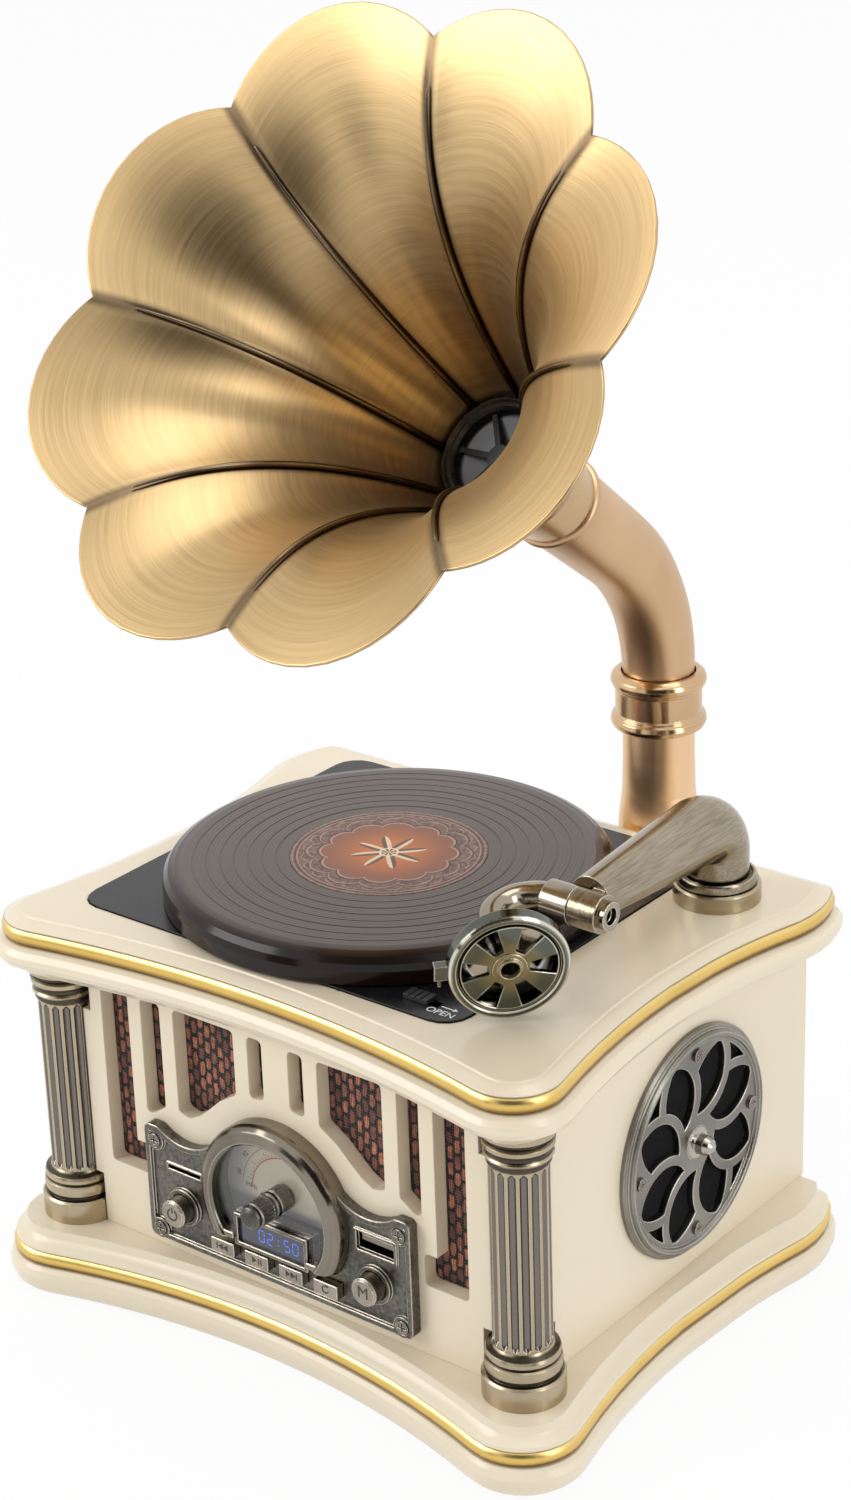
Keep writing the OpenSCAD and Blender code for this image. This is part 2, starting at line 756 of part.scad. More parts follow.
// Columns in the two front corners
module column() {
  ring_z = cabinet_top - 7.7;
  flute_low = base_top + 17.6;
  flute_high = ring_z - 4.2;
  color("tan")
    translate([column_x, column_y, 0])
      difference() {
        rotate_extrude()
          polygon([
            [0, base_top],
            [drum_r, base_top],
            [drum_r, base_top + 6.6],
            [drum_r - 0.6, base_top + 7.2],
            [drum_r - 1.6, base_top + 7.4],
            [drum_r - 1.6, base_top + 8.2],
            [drum_r - 1, base_top + 8.8],
            [drum_r - 0.8, base_top + 10.2],
            [drum_r - 1, base_top + 11.6],
            [drum_r - 1.9, base_top + 12.2],
            [drum_r - 1.3, base_top + 12.9],
            [drum_r - 1.2, base_top + 13.9],
            [drum_r - 1.5, base_top + 14.8],
            [shaft_r + 0.5, base_top + 15.4],
            [shaft_r, base_top + 16.2],
            [shaft_r, ring_z - 3],
            [shaft_r + 0.6, ring_z - 2.2],
            [shaft_r + 0.6, ring_z - 1.2],
            [shaft_r + 1.3, ring_z],
            [shaft_r + 0.7, ring_z + 0.9],
            [shaft_r + 0.7, ring_z + 1.8],
            [shaft_r + 1.5, ring_z + 2.8],
            [shaft_r + 1.6, ring_z + 4],
            [shaft_r + 0.6, ring_z + 4.8],
            [shaft_r + 0.6, ring_z + 5.6],
            [shaft_r + 2.2, ring_z + 6.4],
            [shaft_r + 2.7, ring_z + 9],
            [shaft_r + 3, capital_top],
            [0, capital_top]]);
        for (i = [0:flutes - 1])
          rotate([0, 0, i*360/flutes])
            translate([shaft_r + 0.3, 0, 0]) {
              translate([0, 0, flute_low])
                cylinder(h = flute_high - flute_low, r = flute_r);
              translate([0, 0, flute_low - 1])
                cylinder(h = 1, r1 = 0.4, r2 = flute_r);
              translate([0, 0, flute_high])
                cylinder(h = 1, r1 = flute_r, r2 = 0.4);
            }
      }
}

module left_column() {
  mirror([1, 0, 0])
    column();
}

module right_column() {
  column();
}

module speaker_cloth() {
  cloth_t = 0.8;
  half = side_x - 16;
  color("maroon")
    upright(front_y + front_wall, front_y + front_wall + cloth_t)
      difference() {
        translate([-half, base_top + 19])
          square([2*half, cabinet_h - 20]);
        translate([-opening_half_w - 1.5, base_top])
          square([2*opening_half_w + 3, panel_z + 30.7 + 1.5 - base_top]);
        translate([0, dial_z])
          circle(r = dial_tube_r + 1.6);
      }
}

// Control panel casting and what it carries
panel_screw_x = panel_half_w - 3.7;
panel_screw_z = [panel_z + 2.9, panel_z + 32.1];

module panel_outline() {
  rounded(2)
    difference() {
      translate([-panel_half_w, panel_z])
        square([2*panel_half_w, panel_h]);
      for (s = [-1, 1])
        translate([s*33.5, panel_top + 13])
          circle(r = 16.4, $fn = 48);
    }
}

module dial_shape(r, cut) {
  difference() {
    intersection() {
      translate([0, dial_z])
        circle(r = r);
      translate([-r, dial_chord_z - cut])
        square([2*r, 2*r]);
    }
    translate([-display_w/2 - fit, dial_chord_z - 9])
      square([display_w + 2*fit, display_high - dial_chord_z + 9 + fit]);
  }
}

module control_panel() {
  ring_r = button_r + 1.5;
  color("dimgray")
    difference() {
      union() {
        upright(panel_field_y, front_y)
          panel_outline();
        upright(panel_rim_y, panel_field_y + 0.1)
          difference() {
            panel_outline();
            offset(delta = -1.7)
              panel_outline();
          }
        for (s = [-1, 1])
          bar_y(s*button_x, button_z, ring_r, panel_field_y - 1.2, front_y);
        for (x = [-1, 1], z = panel_screw_z)
          bar_y(x*panel_screw_x, z, 3.2, panel_rim_y, front_y);
        block([usb_x - 7.5, panel_field_y - 0.7, usb_z - 3.5], [usb_x + 7.5, front_y, usb_z + 3.5]);
        block([card_x - 6.8, panel_field_y - 0.3, card_z - 1.3], [card_x + 6.8, front_y, card_z + 1.3]);
        block([-display_w/2, display_front_y, display_low], [display_w/2, front_y, display_high]);
      }
      upright(front_y - 20, panel_field_y)
        dial_shape(dial_outer_r + fit, 1.2);
      upright(panel_field_y - 1, front_y + 1)
        dial_shape(dial_outer_r + fit, 1.2);
      block([-display_w/2 + 1.1, front_y - 20, display_low + 1.1],
        [display_w/2 - 1.1, front_y + 1, display_high - 1.1]);
      for (s = [-1, 1])
        bar_y(s*button_x, button_z, button_r + gap, front_y - 20, front_y + 1);
      for (i = [-1.5:1:1.5])
        block([i*key_pitch - key_w/2 - gap, front_y - 20, key_z - key_h/2 - gap],
          [i*key_pitch + key_w/2 + gap, front_y + 1, key_z + key_h/2 + gap]);
      block([usb_x - 6.6, front_y - 20, usb_z - 2.9], [usb_x + 6.6, front_y + 1, usb_z + 2.9]);
      block([card_x - 6.2, front_y - 20, card_z - 0.7], [card_x + 6.2, front_y + 1, card_z + 0.7]);
      for (x = [-1, 1], z = panel_screw_z) {
        bar_y(x*panel_screw_x, z, 2.3, front_y - 20, panel_field_y);
        bar_y(x*panel_screw_x, z, 1.3, front_y - 20, front_y + 1);
      }
    }
}

module panel_screws() {
  color("silver")
    for (x = [-1, 1], z = panel_screw_z)
      translate([x*panel_screw_x, panel_field_y, z])
        rotate([90, 0, 0])
          screw(2.1, 1.3, 1, 7);
}

module dial_bezel() {
  lip_y = dial_front_y + 2.5;
  color("silver")
    difference() {
      union() {
        intersection() {
          upright(dial_front_y, front_y)
            dial_shape(dial_outer_r, 1);
          translate([0, front_y, dial_z])
            rotate([90, 0, 0])
              rotate_extrude()
                polygon([[0, 0], [dial_outer_r, 0], [dial_outer_r, dial_h - 3.4],
                  [dial_outer_r - 0.5, dial_h - 2],
                  [dial_outer_r - 1.5, dial_h - 0.8], [dial_outer_r - 3, dial_h - 0.1],
                  [dial_glass_r + 0.8, dial_h],
                  [dial_glass_r, dial_h - 0.7], [0, dial_h - 0.7]]);
        }
        upright(front_y - 0.1, front_y + 4)
          dial_shape(dial_tube_r, 1);
      }
      upright(dial_front_y - 1, front_y + 5)
        dial_shape(dial_glass_r, -0.8);
      upright(lip_y, front_y + 5)
        dial_shape(dial_plate_r + fit, -0.4);
    }
}

module dial_lens() {
  color([0.9, 0.95, 1, 0.3])
    difference() {
      upright(dial_front_y + 2.5, dial_front_y + 3.5)
        dial_shape(dial_plate_r, -0.5);
      bar_y(0, knob_z, knob_r + 0.4, dial_front_y, dial_front_y + 5);
    }
}

module dial_face() {
  color("beige")
    difference() {
      upright(front_y + 1.8, front_y + 2.8)
        dial_shape(dial_plate_r, -0.5);
      bar_y(0, knob_z, 2, front_y, front_y + 5);
    }
}

module display() {
  color("navy") {
    block([-display_w/2 + 1.2, display_front_y + 1, display_low + 1.2],
      [display_w/2 - 1.2, front_y - 1, display_high - 1.2]);
    block([-8, front_y - 1.1, display_low + 2], [8, board_y, display_low + 6]);
  }
}

module tuning_knob() {
  tip_y = front_y - knob_reach;
  foot_y = front_y + 1.2;
  ribs = 24;
  color("gray") {
    difference() {
      translate([0, tip_y, knob_z])
        rotate([-90, 0, 0])
          rotate_extrude()
            polygon([
              [0, 0],
              [knob_r - 1.6, 0.3],
              [knob_r - 0.6, 0.9],
              [knob_r - 0.3, 1.6],
              [knob_r - 0.3, 2.6],
              [knob_r, 2.8],
              [knob_r, 8],
              [knob_r - 0.3, 8.2],
              [knob_r - 0.3, 9],
              [knob_r, 9.2],
              [knob_r, foot_y - tip_y - 0.4],
              [knob_r - 0.4, foot_y - tip_y],
              [0, foot_y - tip_y]]);
      for (i = [0:ribs - 1])
        translate([0, 0, knob_z])
          rotate([0, i*360/ribs, 0]) {
            bar_y(knob_r + 0.1, 0, 0.28, tip_y + 3.2, tip_y + 7.6);
            bar_y(knob_r + 0.1, 0, 0.28, tip_y + 9.6, foot_y - 0.8);
          }
    }
    bar_y(0, knob_z, 1.5, foot_y - 0.1, board_y - 4.6);
  }
}

// A round push button with the collar that holds it behind the casting
module round_button(s) {
  color("silver") {
    bar_y(s*button_x, button_z, button_r - 0.5, button_front_y, button_front_y + 1);
    bar_y(s*button_x, button_z, button_r, button_front_y + 0.5, front_y + 1);
    bar_y(s*button_x, button_z, button_r + 1, front_y + 0.4, front_y + 1.4);
    bar_y(s*button_x, button_z, 1.8, front_y + 1, switch_y - button_travel - stem_gap);
  }
}

module power_button() {
  round_button(-1);
}

module mode_button() {
  round_button(1);
}

// A rectangular key with its collar and stem, numbered from the left
module key(number) {
  x = (number - 2.5)*key_pitch;
  color("silver") {
    block([x - key_w/2, key_front_y, key_z - key_h/2], [x + key_w/2, front_y + 1, key_z + key_h/2]);
    block([x - key_w/2 - 1, front_y + 0.4, key_z - key_h/2 - 0.6],
      [x + key_w/2 + 1, front_y + 1.4, key_z + key_h/2 + 0.6]);
    block([x - 1.5, front_y + 1, key_z - 1.5], [x + 1.5, switch_y - key_travel - stem_gap, key_z + 1.5]);
  }
}

module previous_key() {
  key(1);
}

module play_key() {
  key(2);
}

module next_key() {
  key(3);
}

module repeat_key() {
  key(4);
}

module usb_socket() {
  color("silver")
    difference() {
      block([usb_x - 6.5, panel_field_y, usb_z - 2.8], [usb_x + 6.5, board_y, usb_z + 2.8]);
      block([usb_x - 6.1, panel_field_y - 1, usb_z - 2.4], [usb_x + 6.1, board_y - 1, usb_z + 2.4]);
    }
  color("black")
    block([usb_x - 5.5, panel_field_y + 0.6, usb_z - 0.2], [usb_x + 5.5, board_y - 0.5, usb_z + 1.6]);
}

module card_reader() {
  color("silver")
    difference() {
      block([card_x - 7, front_y + 0.2, card_z - 1.4], [card_x + 7, board_y, card_z + 1.4]);
      block([card_x - 6.1, front_y - 1, card_z - 0.6], [card_x + 6.1, board_y - 1, card_z + 0.6]);
    }
}

module control_board() {
  half = panel_half_w - 4.5;
  color("darkgreen") {
    difference() {
      block([-half, board_y, panel_z + 3.4], [half, board_y + board_t, panel_z + 30]);
      for (x = [-1, 1], z = [panel_z + 6, panel_z + 27.4])
        bar_y(x*(half - 3), z, 1.3, board_y - 1, board_y + 3);
    }
    for (i = [-1.5:1:1.5])
      block([i*key_pitch - 2.5, switch_y, key_z - 2.5], [i*key_pitch + 2.5, board_y + 0.1, key_z + 2.5]);
    for (s = [-1, 1])
      block([s*button_x - 3, switch_y, button_z - 3], [s*button_x + 3, board_y + 0.1, button_z + 3]);
    difference() {
      block([-5.5, board_y - 6.5, knob_z - 3.2], [5.5, board_y + 0.1, knob_z + 5.5]);
      bar_y(0, knob_z, 1.6, board_y - 8, board_y - 4.3);
    }
    for (s = [-1, 1])
      block([s*(half - 3) - 3, front_y + front_wall + 0.9, panel_z + 4.4],
        [s*(half - 3) + 3, board_y + 0.1, panel_z + 5.9]);
  }
}

module main_board() {
  board_z = foot_h + 6.5;
  color("darkgreen") {
    block([-board_half_x, -board_half_y, board_z], [board_half_x, board_half_y, board_z + 1.6]);
    block([-40, -20, board_z + 1.5], [-26, -6, board_z + 4]);
    block([10, -10, board_z + 1.5], [34, 10, board_z + 9]);
  }
  color("gray")
    for (x = [-34, -22, -10], y = [18, 30])
      translate([x, y, board_z + 1.5])
        cylinder(h = 11, r = 4);
}

// Side grilles: one arc pattern turned to eight places
grille_field_r = grille_r - 4.7;
grille_screw_r = grille_field_r - 2;
grille_swirl = [2.3, 20.5];
grille_rim_arc = [12, 12.3];
grille_rib = 2.9;

module swirl_window() {
  difference() {
    intersection() {
      translate(grille_swirl)
        circle(r = 11.9);
      translate(grille_rim_arc)
        circle(r = 15.3);
      circle(r = grille_field_r - 0.4);
    }
    rotate(45)
      translate(grille_swirl)
        circle(r = 11.9 + grille_rib);
    circle(r = 7.4);
  }
}

module rim_window() {
  difference() {
    intersection() {
      circle(r = grille_field_r - 0.3);
      translate([10, 8])
        square([20, 20]);
    }
    translate(grille_swirl)
      circle(r = 11.9 + grille_rib);
    rotate(-45)
      translate(grille_rim_arc)
        circle(r = 15.3 + grille_rib);
  }
}

// Grille with its centre at the origin and its face towards +Z
module grille() {
  field = grille_rise;
  color("gray") {
    difference() {
      union() {
        rotate_extrude()
          polygon([
            [grille_field_r, 0.6],
            [grille_field_r, field - 0.2],
            [grille_field_r + 0.9, field],
            [grille_field_r + 1.4, field + 0.9],
            [grille_field_r + 2.4, field + 1.1],
            [grille_field_r + 3.1, field + 0.5],
            [grille_field_r + 3.3, field - 0.4],
            [grille_r - 0.5, field - 0.6],
            [grille_r, field - 1.1],
            [grille_r, 0],
            [grille_field_r + 0.5, 0]]);
        translate([0, 0, 0.6])
          cylinder(h = field - 0.6, r = grille_field_r + 0.5);
      }
      translate([0, 0, -1])
        linear_extrude(field + 2) {
          for (i = [0:7])
            rotate(45*i)
              swirl_window();
          for (i = [0:3])
            rotate(90*i)
              rim_window();
        }
      for (i = [0:3])
        rotate(90*i)
          translate([grille_screw_r, 0, -1])
            cylinder(h = field + 2, r = 1.1);
    }
    translate([0, 0, field])
      rotate_extrude()
        polygon([[0, -0.5], [5.2, -0.5], [4.6, 0.5], [3, 0.9], [2.9, 3.2], [2.2, 4.8], [1.1, 5.6],
          [0, 5.8]]);
  }
}

module at_grille(s) {
  translate([s*side_x, grille_back, base_top + grille_lift])
    rotate([0, 0, s > 0 ? 0 : 180])
      rotate([90, 0, 90])
        children();
}

module left_grille() {
  at_grille(-1)
    grille();
}

module right_grille() {
  at_grille(1)
    grille();
}

module grille_cloths() {
  color("black")
    for (s = [-1, 1])
      at_grille(s)
        difference() {
          translate([0, 0, 0.05])
            cylinder(h = 0.5, r = grille_field_r - 0.2);
          for (i = [0:3])
            rotate(90*i)
              translate([grille_screw_r, 0, -1])
                cylinder(h = 3, r = 1.1);
        }
}

module grille_screws() {
  color("silver")
    for (s = [-1, 1])
      at_grille(s)
        for (i = [0:3])
          rotate(90*i)
            translate([grille_screw_r, 0, grille_rise])
              screw(2, 0.8, 0.85, 6);
}

module speaker() {
  translate([0, 0, -side_wall]) {
    color("dimgray")
      rotate_extrude()
        polygon([[25.5, 0], [31, 0], [31, -1.6], [26.6, -1.6], [17, -13], [17, -16], [16, -16],
          [16, -25], [0, -25], [0, -16.5], [14, -16.5], [15.4, -13.6], [25.5, -1.4]]);
    color("black")
      rotate_extrude()
        polygon([[25.3, -0.4], [23.4, 0.4], [21.4, -0.8], [8, -11], [6, -9], [0, -7.6],
          [0, -8.4], [6, -9.8], [7.6, -12.4], [8, -16.4], [9, -16.4], [9, -12], [21.6, -2],
          [23.4, -0.4], [25.4, -1.2]]);
  }
}

module left_speaker() {
  at_grille(-1)
    speaker();
}

module right_speaker() {
  at_grille(1)
    speaker();
}

// Disc drive under the well
module disc_drive() {
  chassis_top = well_floor_z - 1.15;
  ends = [lid_x + 11.5, lid_x + chassis_end - 3];
  color("gray") {
    translate([lid_x, lid_y, well_floor_z - 12])
      cylinder(h = 10.7, r = 11);
    difference() {
      block([lid_x - 13, lid_y - 19.5, chassis_top - 1.2],
        [lid_x + chassis_end, lid_y + 19.5, chassis_top]);
      block([ends[0] + 3.2, lid_y - 13.6, chassis_top - 2],
        [lid_x + pickup_first + pickup_travel + 8, lid_y + 13.6, chassis_top + 1]);
    }
    for (s = [-1, 1]) {
      translate([ends[0], lid_y + s*rail_offset, drive_z])
        rotate([0, 90, 0])
          cylinder(h = chassis_end - 11.5, r = 1.5);
      for (x = ends)
        block([x, lid_y + s*rail_offset - 2.4, drive_z - 2.6],
          [x + 3, lid_y + s*rail_offset + 2.4, chassis_top - 0.5]);
    }
    for (x = ends)
      difference() {
        block([x, lid_y + screw_offset - 2.2, drive_z - 2.4],
          [x + 3, lid_y + screw_offset + 2.4, chassis_top - 0.5]);
        translate([x - 1, lid_y + screw_offset, drive_z])
          rotate([0, 90, 0])
            cylinder(h = 5, r = 1.05);
      }
  }
}

module disc_spindle() {
  shaft_clear = 0.05;
  color("black")
    translate([lid_x, lid_y, 0])
      difference() {
        union() {
          rotate_extrude()
            polygon([[0, well_floor_z + 0.6], [14, well_floor_z + 0.6], [14, disc_seat_z],
              [spindle_r, disc_seat_z],
              [spindle_r, disc_seat_z + 2.4], [spindle_r - 1.6, disc_seat_z + 4.6],
              [0, disc_seat_z + 5.2]]);
          translate([0, 0, well_floor_z - 1])
            cylinder(h = 2, r = 2.4);
        }
        for (a = [0:120:240])
          rotate(a)
            translate([spindle_r - 0.6, 0, disc_seat_z + 2.6])
              cube([2.4, 1.6, 1.4], center = true);
        translate([0, 0, well_floor_z - 2])
          cylinder(h = 2 + shaft_clear, r = 0.5);
      }
}

module optical_pickup() {
  first = lid_x + pickup_first;
  color("dimgray")
    difference() {
      union() {
        block([first - 9, lid_y - 13, drive_z - 2.6], [first + 9, lid_y + 13.4, drive_z + 2.8]);
        block([first - 7, lid_y - 7, drive_z + 2.7], [first + 7, lid_y + 7, well_floor_z - 1.4]);
        block([first - 3, lid_y + 13.3, drive_z - 1.5],
          [first + 3, lid_y + screw_offset - 1.4, drive_z + 1.5]);
        translate([first, lid_y, well_floor_z - 1.5])
          cylinder(h = 2.1, r = pickup_lens_r);
      }
      for (s = [-1, 1])
        translate([first - 10, lid_y + s*rail_offset, drive_z])
          rotate([0, 90, 0])
            cylinder(h = 20, r = 1.56);
    }
}

module lead_screw() {
  color("silver")
    translate([lid_x + 11.7, lid_y + screw_offset, drive_z])
      rotate([0, 90, 0]) {
        cylinder(h = chassis_end - 12, r = 1);
        translate([0, 0, 3.2])
          difference() {
            cylinder(h = 51, r = 1.35);
            for (i = [0:24])
              translate([0, 0, 1 + 2*i])
                difference() {
                  cylinder(h = 1, r = 3);
                  translate([0, 0, -1])
                    cylinder(h = 3, r = 1.1);
                }
          }
      }
}

// Record-shaped lid
module record_lid() {
  groove_depth = 0.12;
  groove_half = 0.2;
  color([0.35, 0.27, 0.24, 0.8]) {
    difference() {
      translate([lid_x, lid_y, 0])
        difference() {
          rotate_extrude()
            polygon([
              [0, lid_top - lid_t],
              [lid_r - lid_t - 4, lid_top - lid_t],
              [lid_r - lid_t - 1.4, lid_top - lid_t - 1],
              [lid_r - lid_t, lid_top - lid_t - 3.4],
              [lid_r - lid_t, lid_low],
              [lid_r - 0.3, lid_low],
              [lid_r, lid_low + 0.4],
              [lid_r, lid_top - 5],
              [lid_r - 0.5, lid_top - 3],
              [lid_r - 1.8, lid_top - 1.3],
              [lid_r - 3.8, lid_top - 0.3],
              [lid_r - 6, lid_top],
              [label_r + 0.2, lid_top],
              [label_r + 0.2, lid_top - 0.5],
              [0, lid_top - 0.5]]);
          for (r = [label_r + 4:4:lid_r - 8])
            translate([0, 0, lid_top - groove_depth])
              difference() {
                cylinder(h = 1, r = r + groove_half);
                translate([0, 0, -1])
                  cylinder(h = 3, r = r - groove_half);
              }
        }
      at_lid(hinge_turn, lid_r - 6)
        translate([0, -knuckle_half - fit, lid_low - 1])
          cube([8, 2*knuckle_half + 2*fit, lid_h - lid_t - 0.6]);
    }
    at_lid(latch_turn, latch_r)
      translate([0, -4, panel_top_z - 3])
        cube([lid_r - lid_t + 0.8 - latch_r, 8, 7]);
  }
}

module record_label() {
  color("orange")
    translate([lid_x, lid_y, lid_top - 0.5])
      cylinder(h = 0.6, r = label_r);
}

module lid_strap() {
  under = lid_top - lid_t;
  color("black")
    at_lid(hinge_turn, 0)
      translate([0, knuckle_half, 0])
        rotate([90, 0, 0])
          difference() {
            linear_extrude(2*knuckle_half)
              union() {
                polygon([[41, under], [41, under - 1.8], [lid_r - 6.6, under - 1.8],
                  [lid_r - 4.8, lid_low + 0.4],
                  [hinge_r, hinge_z - knuckle_r], [hinge_r, hinge_z + knuckle_r],
                  [lid_r - 2.4, lid_low + 5.2],
                  [lid_r - 5.8, lid_low + 5.6], [lid_r - 6.3, under]]);
                translate([hinge_r, hinge_z])
                  circle(r = knuckle_r);
              }
            translate([hinge_r, hinge_z, -1])
              cylinder(h = 2*knuckle_half + 2, r = hinge_pin_r + 0.06);
          }
}

module hinge_pin() {
  color("silver")
    at_lid(hinge_turn, hinge_r)
      translate([0, 0, hinge_z])
        rotate([90, 0, 0])
          cylinder(h = 2*knuckle_half + 7.2, r = hinge_pin_r, center = true);
}

module open_slider() {
  color("dimgray") {
    difference() {
      block([slider_x - 4, slider_y - 2.2, panel_top_z + 0.1],
        [slider_x + 4, slider_y + 2.2, panel_top_z + 1.5]);
      for (x = [-2, 0, 2])
        block([slider_x + x - 0.3, slider_y - 3, panel_top_z + 1],
          [slider_x + x + 0.3, slider_y + 3, panel_top_z + 2]);
    }
    block([slider_x - 2.6, slider_y - 1.3, panel_top_z - 3.4],
      [slider_x + 2.6, slider_y + 1.3, panel_top_z + 0.2]);
    block([slider_x - 4.4, slider_y - 1.9, panel_top_z - 3.9],
      [slider_x + 4.4, slider_y + 1.9, panel_top_z - 2.1]);
  }
}

// Tonearm
function tube_ring(centre, lean, r, n) =
  [for (i = [0:n - 1]) let (a = -360*i/n)
    centre + r*[cos(a), sin(a)*cos(lean), sin(a)*sin(lean)]];

module tonearm_base() {
  color("tan")
    translate([arm_x, arm_y, deck_top]) {
      rotate_extrude()
        polygon([[0, 0], [12.6, 0], [12.6, arm_base_h - 0.5], [12.1, arm_base_h], [arm_post_r, arm_base_h],
          [arm_post_r, 14], [0, 14]]);
      translate([0, 0, -8])
        cylinder(h = 8.1, r = 3.1);
      translate([0, 0, -deck_top_wall - 3.6])
        cylinder(h = 3.5, r = 5.4, $fn = 6);
    }
}

module tonearm_tube() {
  foot_z = deck_top + arm_base_h + gap;
  bend_start = arm_z - elbow_bend_r;
  bend_y = arm_y - elbow_bend_r;
  tube_end_y = barrel_y + barrel_r + 0.5;
  run = bend_y - tube_end_y;
  n = 32;
  bends = 10;
  color("tan") {
    difference() {
      union() {
        translate([arm_x, arm_y, foot_z])
          rotate_extrude()
            polygon([[0, 0], [11.4, 0], [11.4, 1.9], [11, 2.5], [10.4, 2.6], [10, 2.2], [9.9, 1.7],
              [0, 1.7]]);
        skin(concat(
          [tube_ring([arm_x, arm_y, foot_z + 1.5], 0, arm_foot_r, n)],
          [for (j = [0:bends]) let (a = 90*j/bends, r = arm_foot_r + (arm_elbow_r - arm_foot_r)*j/bends)
            tube_ring([arm_x, bend_y + elbow_bend_r*cos(a), bend_start + elbow_bend_r*sin(a)], a, r, n)],
          [for (j = [1:4]) let (t = j/4)
            tube_ring([arm_x, bend_y - run*t, arm_z], 90, arm_elbow_r + (arm_tip_r - arm_elbow_r)*t, n)]));
      }
      translate([arm_x, arm_y, foot_z - 1])
        cylinder(h = deck_top + 15 - foot_z, r = arm_post_r + 0.06);
    }
    difference() {
      union() {
        translate([arm_x + 0.2, barrel_y, arm_z])
          rotate([0, 90, 0])
            cylinder(h = barrel_half - 0.2, r = barrel_r);
        block([arm_x + 1.4, tube_end_y - 2.6, arm_z - 3.4], [arm_x + 5, tube_end_y + 0.2, arm_z + 3.4]);
      }
      translate([arm_x, barrel_y, arm_z])
        rotate([0, 90, 0])
          cylinder(h = barrel_half + 1, r = joint_pin_r);
    }
  }
}

module joint_pin() {
  color("tan")
    translate([arm_x, barrel_y, arm_z])
      rotate([0, 90, 0])
        difference() {
          union() {
            translate([0, 0, -barrel_half + 2])
              cylinder(h = 2*barrel_half - 2, r = joint_pin_r);
            translate([0, 0, barrel_half])
              cylinder(h = 2.2, r = 4);
          }
          translate([0, 0, barrel_half + 0.4])
            cylinder(h = 2, r = 2.4);
        }
}

// The sound box frame: its face looks along +Z, its centre is at the origin
module at_sound_box() {
  translate(box_centre)
    rotate([0, 0, box_turn])
      rotate([90 + box_tip, 0, 0])
        children();
}

// A ring of the hook from its centre, its turn and its radius
function hook_ring(at, n) =
  [for (i = [0:n - 1]) let (a = 360*i/n)
    [at[0], at[1], at[2]] + at[4]*[cos(a)*sin(at[3]), -cos(a)*cos(at[3]), sin(a)]];

// A smooth value at t along a list of stations
function between(stations, t) =
  let (
    i = min(floor(t), len(stations) - 2),
    f = t - i,
    a = stations[max(i - 1, 0)],
    b = stations[i],
    c = stations[i + 1],
    d = stations[min(i + 2, len(stations) - 1)]
  )
  0.5*(2*b + (c - a)*f + (2*a - 5*b + 4*c - d)*f*f + (3*b - a - 3*c + d)*f*f*f);

module reproducer_arm() {
  left_x = arm_x - barrel_half;
  box_back = box_centre - 10.6*[sin(box_turn)*cos(box_tip), -cos(box_turn)*cos(box_tip), -sin(box_tip)];
  hook = [
    [left_x + 1, barrel_y, arm_z, 180, 4.4],
    [left_x - 2.4, barrel_y - 1, arm_z + 0.2, 190, 4.3],
    [left_x - 5.6, barrel_y - 2.8, arm_z + 0.2, 212, 4],
    [left_x - 8.2, barrel_y - 6.2, arm_z, 240, 3.8],
    [left_x - 9.2, barrel_y - 10.4, arm_z - 0.4, 264, 3.6],
    [left_x - 8.4, barrel_y - 14.6, arm_z - 1, 290, 3.6],
    [left_x - 5.4, barrel_y - 18.2, arm_z - 2.4, 312, 3.6],
    [box_back[0], box_back[1], box_back[2], 317, 3.7]];
  steps = 3*(len(hook) - 1);
  color("tan")
    difference() {
      union() {
        translate([left_x, barrel_y, arm_z])
          rotate([0, 90, 0])
            cylinder(h = barrel_half - 0.2, r = barrel_r);
        skin([for (j = [0:steps]) hook_ring(between(hook, j/3), 20)]);
        at_sound_box()
          translate([0, 0, -12.4])
            cylinder(h = 4.1, r = 4.4);
      }
      translate([left_x - 1, barrel_y, arm_z])
        rotate([0, 90, 0])
          cylinder(h = barrel_half + 2, r = joint_pin_r + 0.06);
    }
}

module sound_box() {
  spokes = 6;
  inner_r = sound_box_r - 3.1;
  window_r = inner_r - 0.3;
  color("dimgray")
    at_sound_box() {
      rotate_extrude()
        polygon([[inner_r, 0.6], [inner_r + 0.5, 0], [inner_r + 1.1, 0.9], [sound_box_r - 0.9, 1],
          [sound_box_r, 0.2], [sound_box_r, -3.4], [sound_box_r - 0.7, -4], [sound_box_r - 1.5, -4.6],
          [11, -7.4], [0, -8.2], [0, -7.2], [10.6, -6.4], [inner_r, -4.6]]);
      translate([0, 0, -1])
        linear_extrude(1.6)
          difference() {
            circle(r = inner_r + 0.1);
            circle(r = box_screw_r);
            intersection() {
              circle(r = window_r);
              for (i = [0:spokes - 1])
                rotate(360/spokes*i)
                  polygon([[5.3, -1.4], [window_r + 1, -3.6], [window_r + 1, 3.6], [5.3, 1.4]]);
            }
          }
      translate([0, 0, -7.6])
        difference() {
          cylinder(h = 7, r = 4);
          translate([0, 0, 2])
            cylinder(h = 6, r = box_screw_r);
        }
    }
}

module sound_box_hub() {
  color("gold")
    at_sound_box()
      translate([0, 0, 0.6])
        rotate_extrude()
          polygon([[box_screw_r, 0], [4.9, 0], [4.7, 0.3], [box_screw_r + 0.9, 0.4], [box_screw_r + 0.7, 1],
            [box_screw_r + 0.2, 1.1], [box_screw_r, 0.8]]);
}

module needle_clamp() {
  color("tan")
    at_sound_box() {
      translate([-sound_box_r - 3.6, -2.2, -2.8])
        cube([3.6, 4.4, 2.8]);
      translate([-sound_box_r - 2, -2.1, -1.4])
        rotate([90, 0, 0])
          cylinder(h = 2.6, r = 0.6);
    }
}

// Horn
module at_horn() {
  translate(horn_centre)
    rotate([horn_lean, 0, 0])
      children();
}

horn_fall = (horn_notch_r - throat_r)/ln(1 + horn_depth/horn_curl);

